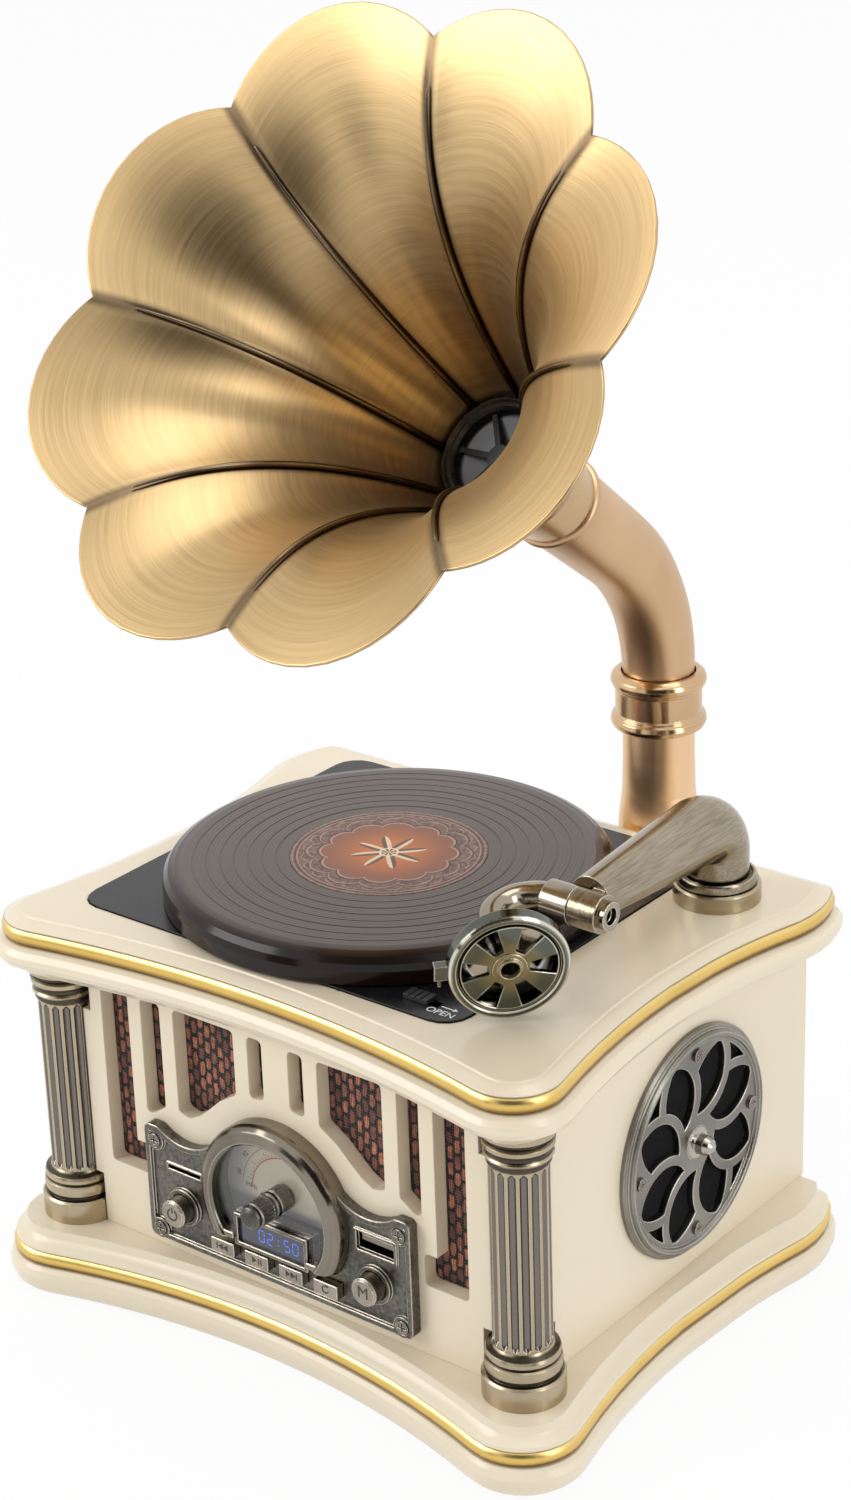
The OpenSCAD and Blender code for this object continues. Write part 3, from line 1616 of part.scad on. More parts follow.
// One point of the horn: distance behind the notches, angle, share across the petal, offset outwards
function horn_point(back, angle, share, out) =
  let (
    r = horn_notch_r - horn_fall*ln(1 + back/horn_curl),
    slope = horn_fall/(back + horn_curl),
    lean = sqrt(1 + slope*slope),
    hump = (1 - pow(2*share - 1, 2))*pow(max(0, r - throat_r)/(horn_notch_r - throat_r), 1.1),
    radius = r + petal_reach*hump + out/lean
  )
  [radius*cos(angle), radius*sin(angle), petal_swell*hump - back - out*slope/lean];

function horn_ring(back, out) =
  let (steps = 12)
  [for (p = [0:petals - 1]) for (i = [0:steps - 1])
    horn_point(back, 90 + crease_turn + 360/petals*(p + i/steps), i/steps, out)];

module horn_bell() {
  rows = 11;
  color("goldenrod")
    at_horn()
      skin(concat(
        [for (j = [0:rows]) horn_ring(horn_depth*pow(j/rows, 1.7), horn_t)],
        [for (j = [rows:-1:0]) horn_ring(horn_depth*pow(j/rows, 1.7), 0)]), true);
}

module horn_socket() {
  wall = 1.4;
  seat_r = throat_r + horn_t + 0.75;
  mouth = seat_r + 1.2;
  color("goldenrod")
    at_horn()
      translate([0, 0, -horn_depth])
        rotate_extrude()
          polygon([
            [seat_r, 2],
            [mouth, 2],
            [mouth, -2],
            [mouth - 1.6, -4],
            [mouth - 2.6, -9],
            [lip_r + 1.4, -16],
            [lip_r + 0.2, -socket_len + 0.1],
            [lip_r - wall - 1.6, -socket_len + 0.1],
            [lip_r - wall - 0.4, -17],
            [mouth - 4.4, -9],
            [mouth - 3.6, -5],
            [throat_r - 0.8, -0.6],
            [seat_r, -0.2]]);
}

module throat_ring() {
  color("black")
    at_horn()
      translate([0, 0, -horn_depth]) {
        rotate_extrude()
          polygon([[throat_r - 0.5, 0.4], [throat_r - 0.5, 3.4], [throat_r - 1.4, 4],
            [throat_r - 2.2, 3], [throat_r - 3, 3.2],
            [throat_r - 3.8, 2.2], [throat_r - 4.4, 0.4], [throat_r - 4.4, -0.4], [throat_r - 1.2, -0.4]]);
        for (i = [0:5])
          rotate(60*i)
            translate([2.4, -0.8, -0.4])
              cube([throat_r - 5.8, 1.6, 1.4]);
        translate([0, 0, -0.4])
          cylinder(h = 2, r = 3.4);
      }
}

module horn_driver() {
  color("dimgray")
    at_horn()
      translate([0, 0, -horn_depth])
        rotate_extrude()
          polygon([[0, -3], [8, -1.4], [12, -0.45], [13.6, -0.45], [13.6, -4], [11, -5], [9, -12],
            [0, -12]]);
}

// Neck and pipe
function neck_ring(centre, lean, r) =
  let (n = 32)
  [for (i = [0:n - 1]) let (a = -360*i/n)
    centre + r*[cos(a), sin(a)*cos(lean), sin(a)*sin(lean)]];

function neck_row(t, inset) =
  let (
    bends = 7,
    start = [horn_x, pipe_y, collar_low + neck_seat],
    finish = [horn_x, bend_end_y, bend_end_z] + (neck_straight - 0.2)*horn_axis,
    a = horn_lean*(t - 1)/bends,
    r = pipe_r + (lip_r - pipe_r)*(t < 1 ? 0 : t > bends + 1 ? 1 : 0.55*(t - 1)/bends) - inset
  )
  t < 1 ? neck_ring(start, 0, r) :
  t > bends + 1 ? neck_ring(finish, horn_lean, r) :
  neck_ring([horn_x, pipe_y - bend_r*(1 - cos(a)), bend_z + bend_r*sin(a)], a, r);

module neck_pipe() {
  rows = 9;
  color("peru") {
    skin(concat([for (t = [0:rows]) neck_row(t, 0)], [for (t = [rows:-1:0]) neck_row(t, pipe_wall)]), true);
    at_horn()
      translate([0, 0, -horn_depth - socket_len - 3])
        rotate_extrude()
          polygon([[lip_r - 0.2, 0], [lip_r + 0.7, 0.3], [lip_r + 1, 1.4], [lip_r + 0.7, 2.6],
            [lip_r - 0.2, 2.9]]);
  }
}

module pipe_collar() {
  ring_r = pipe_r + 3.6;
  waist_r = pipe_r + 2.2;
  bore = pipe_r + 0.05;
  color("peru")
    translate([horn_x, pipe_y, 0])
      rotate_extrude()
        polygon([
          [bore, collar_low],
          [waist_r - 0.2, collar_low],
          [ring_r - 0.5, collar_low + 0.7],
          [ring_r, collar_low + 2.1],
          [ring_r - 0.3, collar_low + 3.5],
          [waist_r + 0.5, collar_low + 4.1],
          [waist_r + 0.4, collar_low + 4.7],
          [waist_r, collar_low + 5.1],
          [waist_r, collar_high - 5.3],
          [waist_r + 0.4, collar_high - 4.9],
          [waist_r + 0.5, collar_high - 4.3],
          [ring_r - 0.3, collar_high - 3.7],
          [ring_r, collar_high - 2.4],
          [ring_r - 0.4, collar_high - 1.2],
          [ring_r - 0.9, collar_high - 0.7],
          [waist_r + 0.1, collar_high - 0.5],
          [waist_r - 0.6, collar_high],
          [bore + 0.4, collar_high],
          [bore, collar_high - 3]]);
}

module lower_pipe() {
  top = collar_low + neck_seat - 0.5;
  foot = bracket_low + 2;
  flare_z = collar_low - 20.7;
  color("peru")
    translate([horn_x, pipe_y, 0])
      rotate_extrude()
        polygon([
          [pipe_r, top],
          [pipe_r, flare_z + 12],
          [pipe_r + 0.3, flare_z],
          [foot_pipe_r - 0.3, flare_z - 8],
          [foot_pipe_r, flare_z - 12],
          [foot_pipe_r, foot],
          [foot_pipe_r - pipe_wall, foot],
          [foot_pipe_r - pipe_wall, flare_z - 12],
          [pipe_r - pipe_wall, flare_z + 8],
          [pipe_r - pipe_wall, top]]);
}

module pipe_bracket() {
  plate_low = bracket_low - bracket_drop;
  cup_r = foot_pipe_r + bracket_wall;
  color("gray")
    difference() {
      union() {
        block([horn_x - bracket_plate_half, back_y, plate_low],
          [horn_x + bracket_plate_half, back_y + bracket_wall, bracket_high]);
        intersection() {
          translate([horn_x, pipe_y, bracket_low])
            cylinder(h = bracket_high - bracket_low, r = cup_r);
          block([horn_x - 30, back_y, bracket_low - 1], [horn_x + 30, pipe_y + 30, bracket_high + 1]);
        }
        for (s = [-1, 1])
          upright_rib(s);
      }
      translate([horn_x, pipe_y, bracket_low + 2])
        cylinder(h = bracket_high - bracket_low, r = foot_pipe_r + 0.05);
      for (x = [-1, 1], z = [bracket_low - 10, bracket_low + 9])
        bar_y(horn_x + x*(bracket_plate_half - 5), z, 1.3, back_y - 1, back_y + bracket_wall + 1);
    }
}

// A rib that carries the cup from below
module upright_rib(s) {
  translate([horn_x + s*8 - 1.5, 0, 0])
    rotate([90, 0, 90])
      linear_extrude(3)
        polygon([[back_y + 1, bracket_low - bracket_drop + 1], [pipe_y + 6, bracket_low - 0.5],
          [pipe_y + 6, bracket_low + 1],
          [back_y + 1, bracket_low + 1]]);
}

base_plate();
base_trim();
rubber_feet();
case_screws();
cabinet();
rear_cover();
deck();
deck_trim();
deck_panel();
left_column();
right_column();
speaker_cloth();
control_panel();
panel_screws();
dial_bezel();
dial_face();
dial_lens();
display();
tuning_knob();
power_button();
mode_button();
previous_key();
play_key();
next_key();
repeat_key();
usb_socket();
card_reader();
control_board();
main_board();
left_grille();
right_grille();
grille_cloths();
grille_screws();
left_speaker();
right_speaker();
record_lid();
record_label();
lid_strap();
hinge_pin();
open_slider();
disc_spindle();
disc_drive();
optical_pickup();
lead_screw();
tonearm_base();
tonearm_tube();
joint_pin();
reproducer_arm();
sound_box();
sound_box_hub();
needle_clamp();
horn_bell();
horn_socket();
throat_ring();
horn_driver();
neck_pipe();
pipe_collar();
lower_pipe();
pipe_bracket();
rear_jacks();
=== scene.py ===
from math import atan2, cos, hypot, log, pi, radians, sin

import bmesh
import bpy
from mathutils import Matrix, Vector


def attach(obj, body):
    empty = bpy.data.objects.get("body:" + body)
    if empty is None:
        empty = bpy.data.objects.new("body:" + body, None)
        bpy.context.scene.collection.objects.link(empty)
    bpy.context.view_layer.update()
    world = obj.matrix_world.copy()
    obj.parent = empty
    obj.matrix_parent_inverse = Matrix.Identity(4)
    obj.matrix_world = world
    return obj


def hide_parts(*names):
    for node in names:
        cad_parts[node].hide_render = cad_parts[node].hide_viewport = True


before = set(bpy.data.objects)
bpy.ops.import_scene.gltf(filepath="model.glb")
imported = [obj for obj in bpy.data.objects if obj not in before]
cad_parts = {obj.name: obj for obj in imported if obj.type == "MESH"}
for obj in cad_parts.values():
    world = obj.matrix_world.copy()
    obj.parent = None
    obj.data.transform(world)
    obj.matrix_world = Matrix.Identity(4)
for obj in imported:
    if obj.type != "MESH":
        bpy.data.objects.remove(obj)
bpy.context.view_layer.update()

# The camera stands in front of the right corner and looks down at the deck. Its place, turn and lens
# are those that the photograph was taken with, for an image of 851 by 1500.
link = bpy.context.scene.collection.objects.link
MM = 0.001
view_turn, view_height, view_roll = radians(38.9), radians(23.11), radians(-2.0)
eye_right, eye_up, eye_back, fit_scale, fit_origin = 23.17, 92.11, 530.6, 1.68, Vector((0, -69.72, 22))
sensor_h, focal_pixels, image_h = 36, 3137.4, 1500
back = Vector((sin(view_turn) * cos(view_height), -cos(view_turn) * cos(view_height), sin(view_height)))
right = Vector((cos(view_turn), sin(view_turn), 0))
up = back.cross(right)
right, up = (right * cos(view_roll) + up * sin(view_roll),
             up * cos(view_roll) - right * sin(view_roll))
eye = (right * eye_right + up * eye_up + back * eye_back) * fit_scale + fit_origin
camera_data = bpy.data.cameras.new("camera")
camera_data.sensor_fit = "VERTICAL"
camera_data.sensor_height = sensor_h
camera_data.lens = sensor_h * focal_pixels / image_h
camera_data.clip_start = 0.01
camera = bpy.data.objects.new("camera", camera_data)
camera.matrix_world = Matrix((
    (right.x, up.x, back.x, eye.x * MM),
    (right.y, up.y, back.y, eye.y * MM),
    (right.z, up.z, back.z, eye.z * MM),
    (0, 0, 0, 1)))
link(camera)
bpy.context.scene.camera = camera
bpy.context.scene.view_settings.view_transform = "Standard"


# The studio is a pale floor in an even white room, with a large soft lamp at the front left, a tall one
# at the right and one overhead. Seen directly or in a reflection, floor and room are plain white.
def put(socket, value):
    """Sets a socket to a value, or links it to another socket. A colour is given without its alpha."""
    if isinstance(value, bpy.types.NodeSocket):
        socket.id_data.links.new(value, socket)
    elif socket.type == "RGBA":
        socket.default_value = (*value, 1)
    else:
        socket.default_value = value


def add(tree, kind, inputs=None, **settings):
    """Adds a shader node with its inputs by name or number, and its settings."""
    made = tree.nodes.new("ShaderNode" + kind)
    for key, value in settings.items():
        setattr(made, key, value)
    for key, value in (inputs or {}).items():
        put(made.inputs[key], value)
    return made


def calc(operation, *values, clamp=False):
    """One step of arithmetic, in the tree of the first value that is a socket."""
    tree = next(value.id_data for value in values if isinstance(value, bpy.types.NodeSocket))
    return add(tree, "Math", dict(enumerate(values)), operation=operation, use_clamp=clamp).outputs[0]


def shorthand(operation):
    """A short name for one kind of arithmetic."""
    return lambda *values, clamp=False: calc(operation, *values, clamp=clamp)


plus, minus, times, times_plus = (shorthand(name) for name in ("ADD", "SUBTRACT", "MULTIPLY", "MULTIPLY_ADD"))


def seen_white(tree):
    """1 where light goes to the camera, to a reflection or through glass."""
    path = add(tree, "LightPath").outputs
    return plus(plus(path["Is Camera Ray"], path["Is Glossy Ray"]), path["Is Transmission Ray"], clamp=True)


def as_mesh(name, bm):
    """The finished mesh of a bmesh, which is freed."""
    mesh = bpy.data.meshes.new(name)
    bm.to_mesh(mesh)
    bm.free()
    return mesh


def studio_sheet(name, width, height, material):
    """A flat sheet of the studio, centred at the origin."""
    bm = bmesh.new()
    bmesh.ops.create_grid(bm, x_segments=1, y_segments=1, size=0.5)
    bmesh.ops.scale(bm, verts=bm.verts, vec=(width, height, 1))
    mesh = as_mesh(name, bm)
    mesh.materials.append(material)
    made = bpy.data.objects.new(name, mesh)
    link(made)
    return made


def aim(thing, stand, target):
    """Puts a lamp or a flag in its place and turns it to a target."""
    thing.location = stand
    thing.rotation_euler = (Vector(target) - Vector(stand)).to_track_quat("-Z", "Y").to_euler()


room = bpy.data.worlds.new("studio room")
room.use_nodes = True
room_tree = room.node_tree
room_light = room_tree.nodes["Background"]
put(room_light.inputs["Color"], (1, 1, 1))
put(room_light.inputs["Strength"], times_plus(seen_white(room_tree), 0.36, 0.64))
bpy.context.scene.world = room

floor_finish = bpy.data.materials.new("studio floor")
floor_finish.use_nodes = True
floor_tree = floor_finish.node_tree
floor_shader = floor_tree.nodes["Principled BSDF"]
for key, value in (("Base Color", (0.86, 0.86, 0.86)), ("Roughness", 0.9), ("Specular IOR Level", 0.0)):
    put(floor_shader.inputs[key], value)
floor_white = add(floor_tree, "Emission", {"Color": (1, 1, 1), "Strength": 1.0})
floor_mix = add(floor_tree, "MixShader", {0: times(seen_white(floor_tree), 0.94),
                                          1: floor_shader.outputs[0], 2: floor_white.outputs[0]})
put(floor_tree.nodes["Material Output"].inputs["Surface"], floor_mix.outputs[0])
floor = studio_sheet("studio_floor", 12, 12, floor_finish)

for lamp_name, stand, target, width, height, watts in (
        ("key_lamp", (-1.25, -1.25, 1.15), (0, 0, 0.15), 1.1, 1.1, 16),
        ("side_lamp", (1.7, -0.1, 0.75), (0, 0, 0.2), 0.5, 1.5, 8),
        ("top_lamp", (0.1, 0.25, 1.9), (0, 0, 0.1), 1.2, 1.2, 9)):
    lamp_data = bpy.data.lights.new(lamp_name, "AREA")
    lamp_data.shape = "RECTANGLE"
    lamp_data.size = width
    lamp_data.size_y = height
    lamp_data.energy = watts
    lamp = bpy.data.objects.new(lamp_name, lamp_data)
    aim(lamp, stand, target)
    link(lamp)

# Three dark flags stand round the camera, as in a product studio. They show only as dark shapes in the
# polished parts and take no light from the rest.
flag_finish = bpy.data.materials.new("dark flag")
flag_finish.use_nodes = True
flag_tree = flag_finish.node_tree
flag_dark = add(flag_tree, "Emission", {"Color": (0.05, 0.045, 0.04), "Strength": 1.0})
put(flag_tree.nodes["Material Output"].inputs["Surface"], flag_dark.outputs[0])
for flag_name, stand, width, height in (("camera_flag", (0.72, -1.18, 0.80), 1.5, 1.3),
                                        ("left_flag", (-0.35, -1.45, 0.10), 0.42, 0.6),
                                        ("right_flag", (1.45, -0.62, 0.25), 0.40, 0.75)):
    flag = studio_sheet(flag_name, width, height, flag_finish)
    aim(flag, stand, (0, 0, 0.15))
    for sight in ("visible_camera", "visible_diffuse", "visible_transmission", "visible_shadow"):
        setattr(flag, sight, False)


# Base plate, cabinet walls, rear cover and deck: moulded board with an ivory lacquer, glued and screwed.
# The lacquer is smooth and a little softer along its edges, with a painted highlight there and painted shade
# in the corners.
def group(name, inputs, outputs):
    """A shader node group with named inputs (name, default) and outputs (name, socket type)."""
    tree = bpy.data.node_groups.new(name, "ShaderNodeTree")
    for socket_name, value in inputs:
        kind = "NodeSocketVector" if isinstance(value, tuple) else "NodeSocketFloat"
        tree.interface.new_socket(socket_name, in_out="INPUT", socket_type=kind).default_value = value
    for socket_name, kind in outputs:
        tree.interface.new_socket(socket_name, in_out="OUTPUT", socket_type=kind)
    return tree, tree.nodes.new("NodeGroupInput").outputs, tree.nodes.new("NodeGroupOutput").inputs


def place(tree, made_group, **inputs):
    """Places a node group in a material and returns its outputs."""
    made = tree.nodes.new("ShaderNodeGroup")
    made.node_tree = made_group
    for key, value in inputs.items():
        put(made.inputs[key.replace("_", " ")], value)
    return made.outputs


def mixed(share, first, second):
    """A colour between two colours."""
    return add(share.id_data, "Mix", {0: share, 6: first, 7: second}, data_type="RGBA").outputs[2]


def stepped(value, low, high):
    """0 below low, 1 above high, and smooth between."""
    return add(value.id_data, "MapRange", {"Value": value, "From Min": low, "From Max": high},
               interpolation_type="SMOOTHSTEP").outputs["Result"]


def noise(tree, scale, detail=3.0, stretch=(1, 1, 1)):
    """An even mottling between 0 and 1."""
    return place(tree, mottle, Scale=scale, Detail=detail, Stretch=stretch)["Value"]


# An edge mask, used for painted highlights and for wear, and a rounded normal.
soft_edge, inside, outside = group("soft edge", [("Radius", 0.0004)],
                                   [("Normal", "NodeSocketVector"), ("Edge", "NodeSocketFloat")])
rounded_normal = add(soft_edge, "Bevel", {"Radius": inside["Radius"]}, samples=4).outputs[0]
true_normal = add(soft_edge, "NewGeometry").outputs["Normal"]
bend = add(soft_edge, "VectorMath", {0: rounded_normal, 1: true_normal}, operation="DOT_PRODUCT")
put(outside["Edge"], stepped(minus(1.0, bend.outputs["Value"]), 0.015, 0.2))
put(outside["Normal"], rounded_normal)

mottle, inside, outside = group("mottle", [("Scale", 20.0), ("Stretch", (1.0, 1.0, 1.0)), ("Detail", 3.0)],
                                [("Value", "NodeSocketFloat")])
where = add(mottle, "TexCoord").outputs["Object"]
stretched = add(mottle, "VectorMath", {0: where, 1: inside["Stretch"]}, operation="MULTIPLY").outputs[0]
cloud = add(mottle, "TexNoise", {"Vector": stretched, "Scale": inside["Scale"], "Detail": inside["Detail"]})
put(outside["Value"], cloud.outputs["Fac"])

# A mask of hollows by ambient occlusion, used for painted shade and for patina.
recess, inside, outside = group("recess", [("Depth", 0.003)], [("Shade", "NodeSocketFloat")])
opening = add(recess, "AmbientOcclusion", {"Distance": inside["Depth"]}, samples=8, only_local=True)
put(outside["Shade"], minus(1.0, opening.outputs["AO"]))


def opened(material):
    """The node tree of a material and the inputs of its shader."""
    return material.node_tree, material.node_tree.nodes["Principled BSDF"].inputs


def finish(name, **sockets):
    """A new material with the plain values of its shader. Returns the material, its tree and the shader."""
    made = bpy.data.materials.new(name)
    made.use_nodes = True
    tree, shader = opened(made)
    for key, value in sockets.items():
        shader[key.replace("_", " ")].default_value = value
    return made, tree, shader


def relief(shader, height, depth, normal=None, strength=1.0):
    """Gives the surface a fine relief of that depth in metres."""
    bump = add(height.id_data, "Bump", {"Height": height, "Distance": depth, "Strength": strength})
    if normal is not None:
        put(bump.inputs["Normal"], normal)
    put(shader["Normal"], bump.outputs[0])


def dress(material, *nodes):
    """Gives CAD nodes a material in the slots that they have."""
    for name in nodes:
        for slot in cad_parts[name].material_slots:
            slot.material = material


def piece(name, mesh, material, body):
    """A finished mesh as a new piece that rides on a body."""
    made = bpy.data.objects.new(name, mesh)
    link(made)
    mesh.materials.clear()
    mesh.materials.append(material)
    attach(made, body)
    return made


def smooth_copy(node, name, material, body, crease):
    """A copy of a CAD node's mesh: faces joined, folded flats filled again, shallow edges smooth."""
    bm = bmesh.new()
    bm.from_mesh(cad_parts[node].data)
    bmesh.ops.remove_doubles(bm, verts=bm.verts, dist=0.000002)
    folded = [e for e in bm.edges if e.calc_face_angle(0.0) > radians(170)]
    for level in {round(e.verts[0].co.z, 6) for e in folded}:
        flat = [f for f in bm.faces if all(abs(v.co.z - level) < 0.000002 for v in f.verts)]
        bmesh.ops.delete(bm, geom=flat, context="FACES")
        rim = [e for e in bm.edges if e.is_boundary and all(abs(v.co.z - level) < 0.000002 for v in e.verts)]
        bmesh.ops.triangle_fill(bm, edges=rim, use_beauty=True)
    bmesh.ops.recalc_face_normals(bm, faces=bm.faces)
    for face in bm.faces:
        face.smooth = True
    for edge in bm.edges:
        edge.smooth = edge.calc_face_angle(0.0) < radians(crease)
    mesh = as_mesh(name, bm)
    if "custom_normal" in mesh.attributes:
        mesh.attributes.remove(mesh.attributes["custom_normal"])
    made = piece(name, mesh, material, body)
    even = made.modifiers.new("even shading", "WEIGHTED_NORMAL")
    even.keep_sharp = True
    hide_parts(node)
    return made


ivory, tree, shader = finish("ivory lacquer", Coat_Weight=0.35, Coat_Roughness=0.12)
edges = place(tree, soft_edge, Radius=0.0006)
cloud = noise(tree, 14, 4)
fine = noise(tree, 420, 2)
shade = place(tree, recess, Depth=0.005)["Shade"]
tone = mixed(cloud, (0.79, 0.69, 0.515), (0.845, 0.75, 0.58))
# Painted shade darkens the corners and recesses; a painted highlight lightens the edges.
tone = mixed(times(shade, 0.55), tone, (0.42, 0.33, 0.21))
put(shader["Base Color"], mixed(times(edges["Edge"], 0.5), tone, (0.90, 0.83, 0.68)))
put(shader["Roughness"], times_plus(fine, 0.12, 0.26))
relief(shader, fine, 0.00004, edges["Normal"], 0.6)
dress(ivory, "cabinet", "rear_cover")
for slab in ("base_plate", "deck"):
    smooth_copy(slab, slab + "_moulding", ivory, "case", 20)

# Two gilt beads: half-round plastic strips with a polished gold foil, pressed into the grooves of the
# base plate and the deck.
gilt, tree, shader = finish("gilt foil", Metallic=1.0, Specular_IOR_Level=0.5)
cloud = noise(tree, 60)
facing_up_for_painted_light = add(tree, "SeparateXYZ", {0: add(tree, "NewGeometry").outputs["Normal"]}).outputs["Z"]
tone = mixed(cloud, (0.70, 0.46, 0.12), (0.86, 0.62, 0.20))
# Painted shade on the underside of each bead, then a painted highlight on its top.
tone = mixed(stepped(facing_up_for_painted_light, -0.5, 0.1), (0.42, 0.27, 0.075), tone)
put(shader["Base Color"], mixed(times(stepped(facing_up_for_painted_light, 0.2, 0.8), 0.6), tone, (0.88, 0.72, 0.36)))
put(shader["Roughness"], times_plus(cloud, 0.1, 0.26))
relief(shader, cloud, 0.00006)
for strip in ("base_trim", "deck_trim"):
    smooth_copy(strip, strip + "_bead", gilt, "case", 60)

# Four round feet, moulded from black rubber with a fine grain. They are glued under the corners of the
# base plate.
rubber, tree, shader = finish("foot rubber", Specular_IOR_Level=0.3)
cloud = noise(tree, 300, 4)
put(shader["Base Color"], mixed(cloud, (0.018, 0.018, 0.018), (0.05, 0.05, 0.048)))
put(shader["Roughness"], times_plus(cloud, 0.2, 0.6))
relief(shader, cloud, 0.0001)
dress(rubber, "rubber_feet")


# The screws of the case, the side grilles and the control panel: steel, cross-headed, with painted shade in
# their recesses.
# The USB socket and the card slot are stamped from the same steel.
def metal(name, light, dark, wear_and_highlight, rough=(0.2, 0.34), grain=(1, 1, 1), scale=60, depth=0.00005,
          patina_and_shade=0.8, hollow=0.0016, edge=0.0003):
    """A metal that is darker in its recesses by patina and painted shade, lighter on its edges by wear and
    painted highlights, and brushed along its grain.
    """
    made, tree, shader = finish(name, Metallic=1.0)
    edges = place(tree, soft_edge, Radius=edge)
    lines = noise(tree, scale, 4, grain)
    cloud = noise(tree, 35, 2)
    shade = place(tree, recess, Depth=hollow)["Shade"]
    tone = mixed(stepped(times_plus(lines, 0.7, times(cloud, 0.3)), 0.3, 0.7), dark, light)
    # Patina and painted shade darken the hollows.
    patina_and_shade_mask = times(stepped(shade, 0.08, 0.55), patina_and_shade)
    tone = mixed(patina_and_shade_mask, tone, (dark[0] * 0.10, dark[1] * 0.10, dark[2] * 0.11))
    # Wear and painted highlights lighten the edges.
    put(shader["Base Color"], mixed(times(edges["Edge"], 0.8), tone, wear_and_highlight))
    put(shader["Roughness"], times_plus(lines, rough[1] - rough[0], rough[0]))
    relief(shader, lines, depth, edges["Normal"], 0.5)
    return made


screw_steel = metal("screw steel", (0.28, 0.25, 0.21), (0.14, 0.125, 0.10), (0.84, 0.78, 0.68), patina_and_shade=1.0,
                    hollow=0.0009, rough=(0.25, 0.4))
dress(screw_steel, "case_screws", "panel_screws", "grille_screws", "usb_socket", "card_reader")


# Two fluted columns of cast zinc, plated as antique brass: darker in the flutes and ring grooves by patina
# and painted shade, lighter on the ridges and rings by wear and painted highlights. They stand in the notches
# of the cabinet's front corners.
def linked(socket):
    """What is linked to a socket."""
    return socket.links[0].from_socket


def fading(value, low, high):
    """1 below low, 0 above high, and smooth between."""
    return minus(1.0, stepped(value, low, high))


def spot(tree):
    """The X, Y and Z of a place on the object, in metres."""
    return add(tree, "SeparateXYZ", {0: add(tree, "TexCoord").outputs["Object"]}).outputs


def distance(first, second):
    """The distance from an axis, from the offsets in two directions."""
    return calc("SQRT", times_plus(first, first, times(second, second)))


column_brass = metal("antique brass columns", (0.52, 0.435, 0.30), (0.42, 0.35, 0.235), (0.90, 0.82, 0.62),
                     rough=(0.2, 0.32), grain=(1, 1, 0.1), scale=160, depth=0.00002, patina_and_shade=1.0,
                     hollow=0.0034)
column_x, column_y, column_mid_z, cap_groove_r, foot_groove_r = 0.082, -0.068, 0.06, 0.0091, 0.0101
tree, shader = opened(column_brass)
where = spot(tree)
from_axis = distance(minus(calc("ABSOLUTE", where["X"]), column_x), minus(where["Y"], column_y))
groove_r = times_plus(calc("LESS_THAN", where["Z"], column_mid_z), foot_groove_r - cap_groove_r, cap_groove_r)
# Patina and painted shade: near-black in the ring grooves, darker in the flutes.
groove = times(stepped(from_axis, 0.0084, 0.0087), fading(minus(from_axis, groove_r), -0.0001, 0.0001))
flute = fading(from_axis, 0.00785, 0.00812)
tone = mixed(times(groove, 0.9), linked(shader["Base Color"]), (0.045, 0.038, 0.032))
put(shader["Base Color"], mixed(times(flute, 0.95), tone, (0.19, 0.168, 0.158)))
dress(column_brass, "left_column", "right_column")

# The woven cloth behind the front windows: black yarn with staggered rust-coloured floats, stretched and
# glued to the inside of the front wall.
cloth_low, cloth_high, cloth_half, cloth_y = 0.0412, 0.1028, 0.0678, -0.0646
cloth_half_h, dial_z = (cloth_high - cloth_low) / 2, 0.0525
float_w, float_h, yarn_pitch, panel_half, panel_top, bezel_r = 0.0024, 0.0050, 0.0009, 0.0452, 0.0602, 0.0253
cloth, tree, shader = finish("rust and black weave", Sheen_Weight=0.25, Specular_IOR_Level=0.25)
where = spot(tree)
column = times(where["X"], 1 / float_w)
column_number = calc("FLOOR", column)
across = minus(calc("FRACT", column), 0.5)
row = times_plus(column_number, 0.5, times(where["Z"], 1 / float_h))
along = minus(calc("FRACT", row), 0.5)
wander = times_plus(noise(tree, 420, 2), 0.5, -0.25)
oval = calc("POWER", plus(*(calc("POWER", calc("ABSOLUTE", calc("DIVIDE", plus(offset, wander), half)), 4.0)
                            for offset, half in ((across, 0.38), (along, 0.42)))), 0.25)
cell = add(tree, "CombineXYZ", {0: column_number, 1: calc("FLOOR", row)}).outputs[0]
chance = add(tree, "TexWhiteNoise", {"Vector": cell}, noise_dimensions="3D").outputs["Value"]
float_mask = fading(oval, 0.8, 1.0)
strands = calc("SINE", times(across, 26.0))
cross_yarn = calc("SINE", times(where["Z"], 2 * pi / yarn_pitch))
uneven = noise(tree, 500)
patches = noise(tree, 130, 1)
rust = mixed(stepped(times_plus(strands, 0.25, uneven), 0.25, 0.8), (0.20, 0.05, 0.03), (0.70, 0.26, 0.15))
faded = stepped(times_plus(chance, 0.7, times(patches, 0.5)), 0.3, 0.95)
rust = mixed(times(faded, 0.85), rust, (0.10, 0.03, 0.03))
yarn = mixed(times_plus(cross_yarn, 0.3, times(uneven, 0.6), clamp=True),
             (0.004, 0.0035, 0.003), (0.032, 0.028, 0.019))
put(shader["Base Color"], mixed(float_mask, yarn, rust))
shader["Roughness"].default_value = 0.85
relief(shader, plus(times(float_mask, 0.8), times(plus(cross_yarn, strands), 0.12)), 0.0004)
bm = bmesh.new()
bmesh.ops.create_grid(bm, x_segments=96, y_segments=44, size=1.0)
bmesh.ops.transform(bm, verts=bm.verts, matrix=Matrix.Translation((0, cloth_y, (cloth_low + cloth_high) / 2))
                    @ Matrix.Rotation(pi / 2, 4, "X") @ Matrix.Diagonal((cloth_half, cloth_half_h, 1, 1)))
behind_panel = []
for face in bm.faces:
    middle = face.calc_center_median()
    if abs(middle.x) < panel_half and middle.z < panel_top or hypot(middle.x, middle.z - dial_z) < bezel_r:
        behind_panel.append(face)
bmesh.ops.delete(bm, geom=behind_panel, context="FACES")
cloth_area = sum(f.calc_area() for f in bm.faces)
woven_cloth = piece("woven_cloth", as_mesh("woven_cloth", bm), cloth, "case")
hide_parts("speaker_cloth")
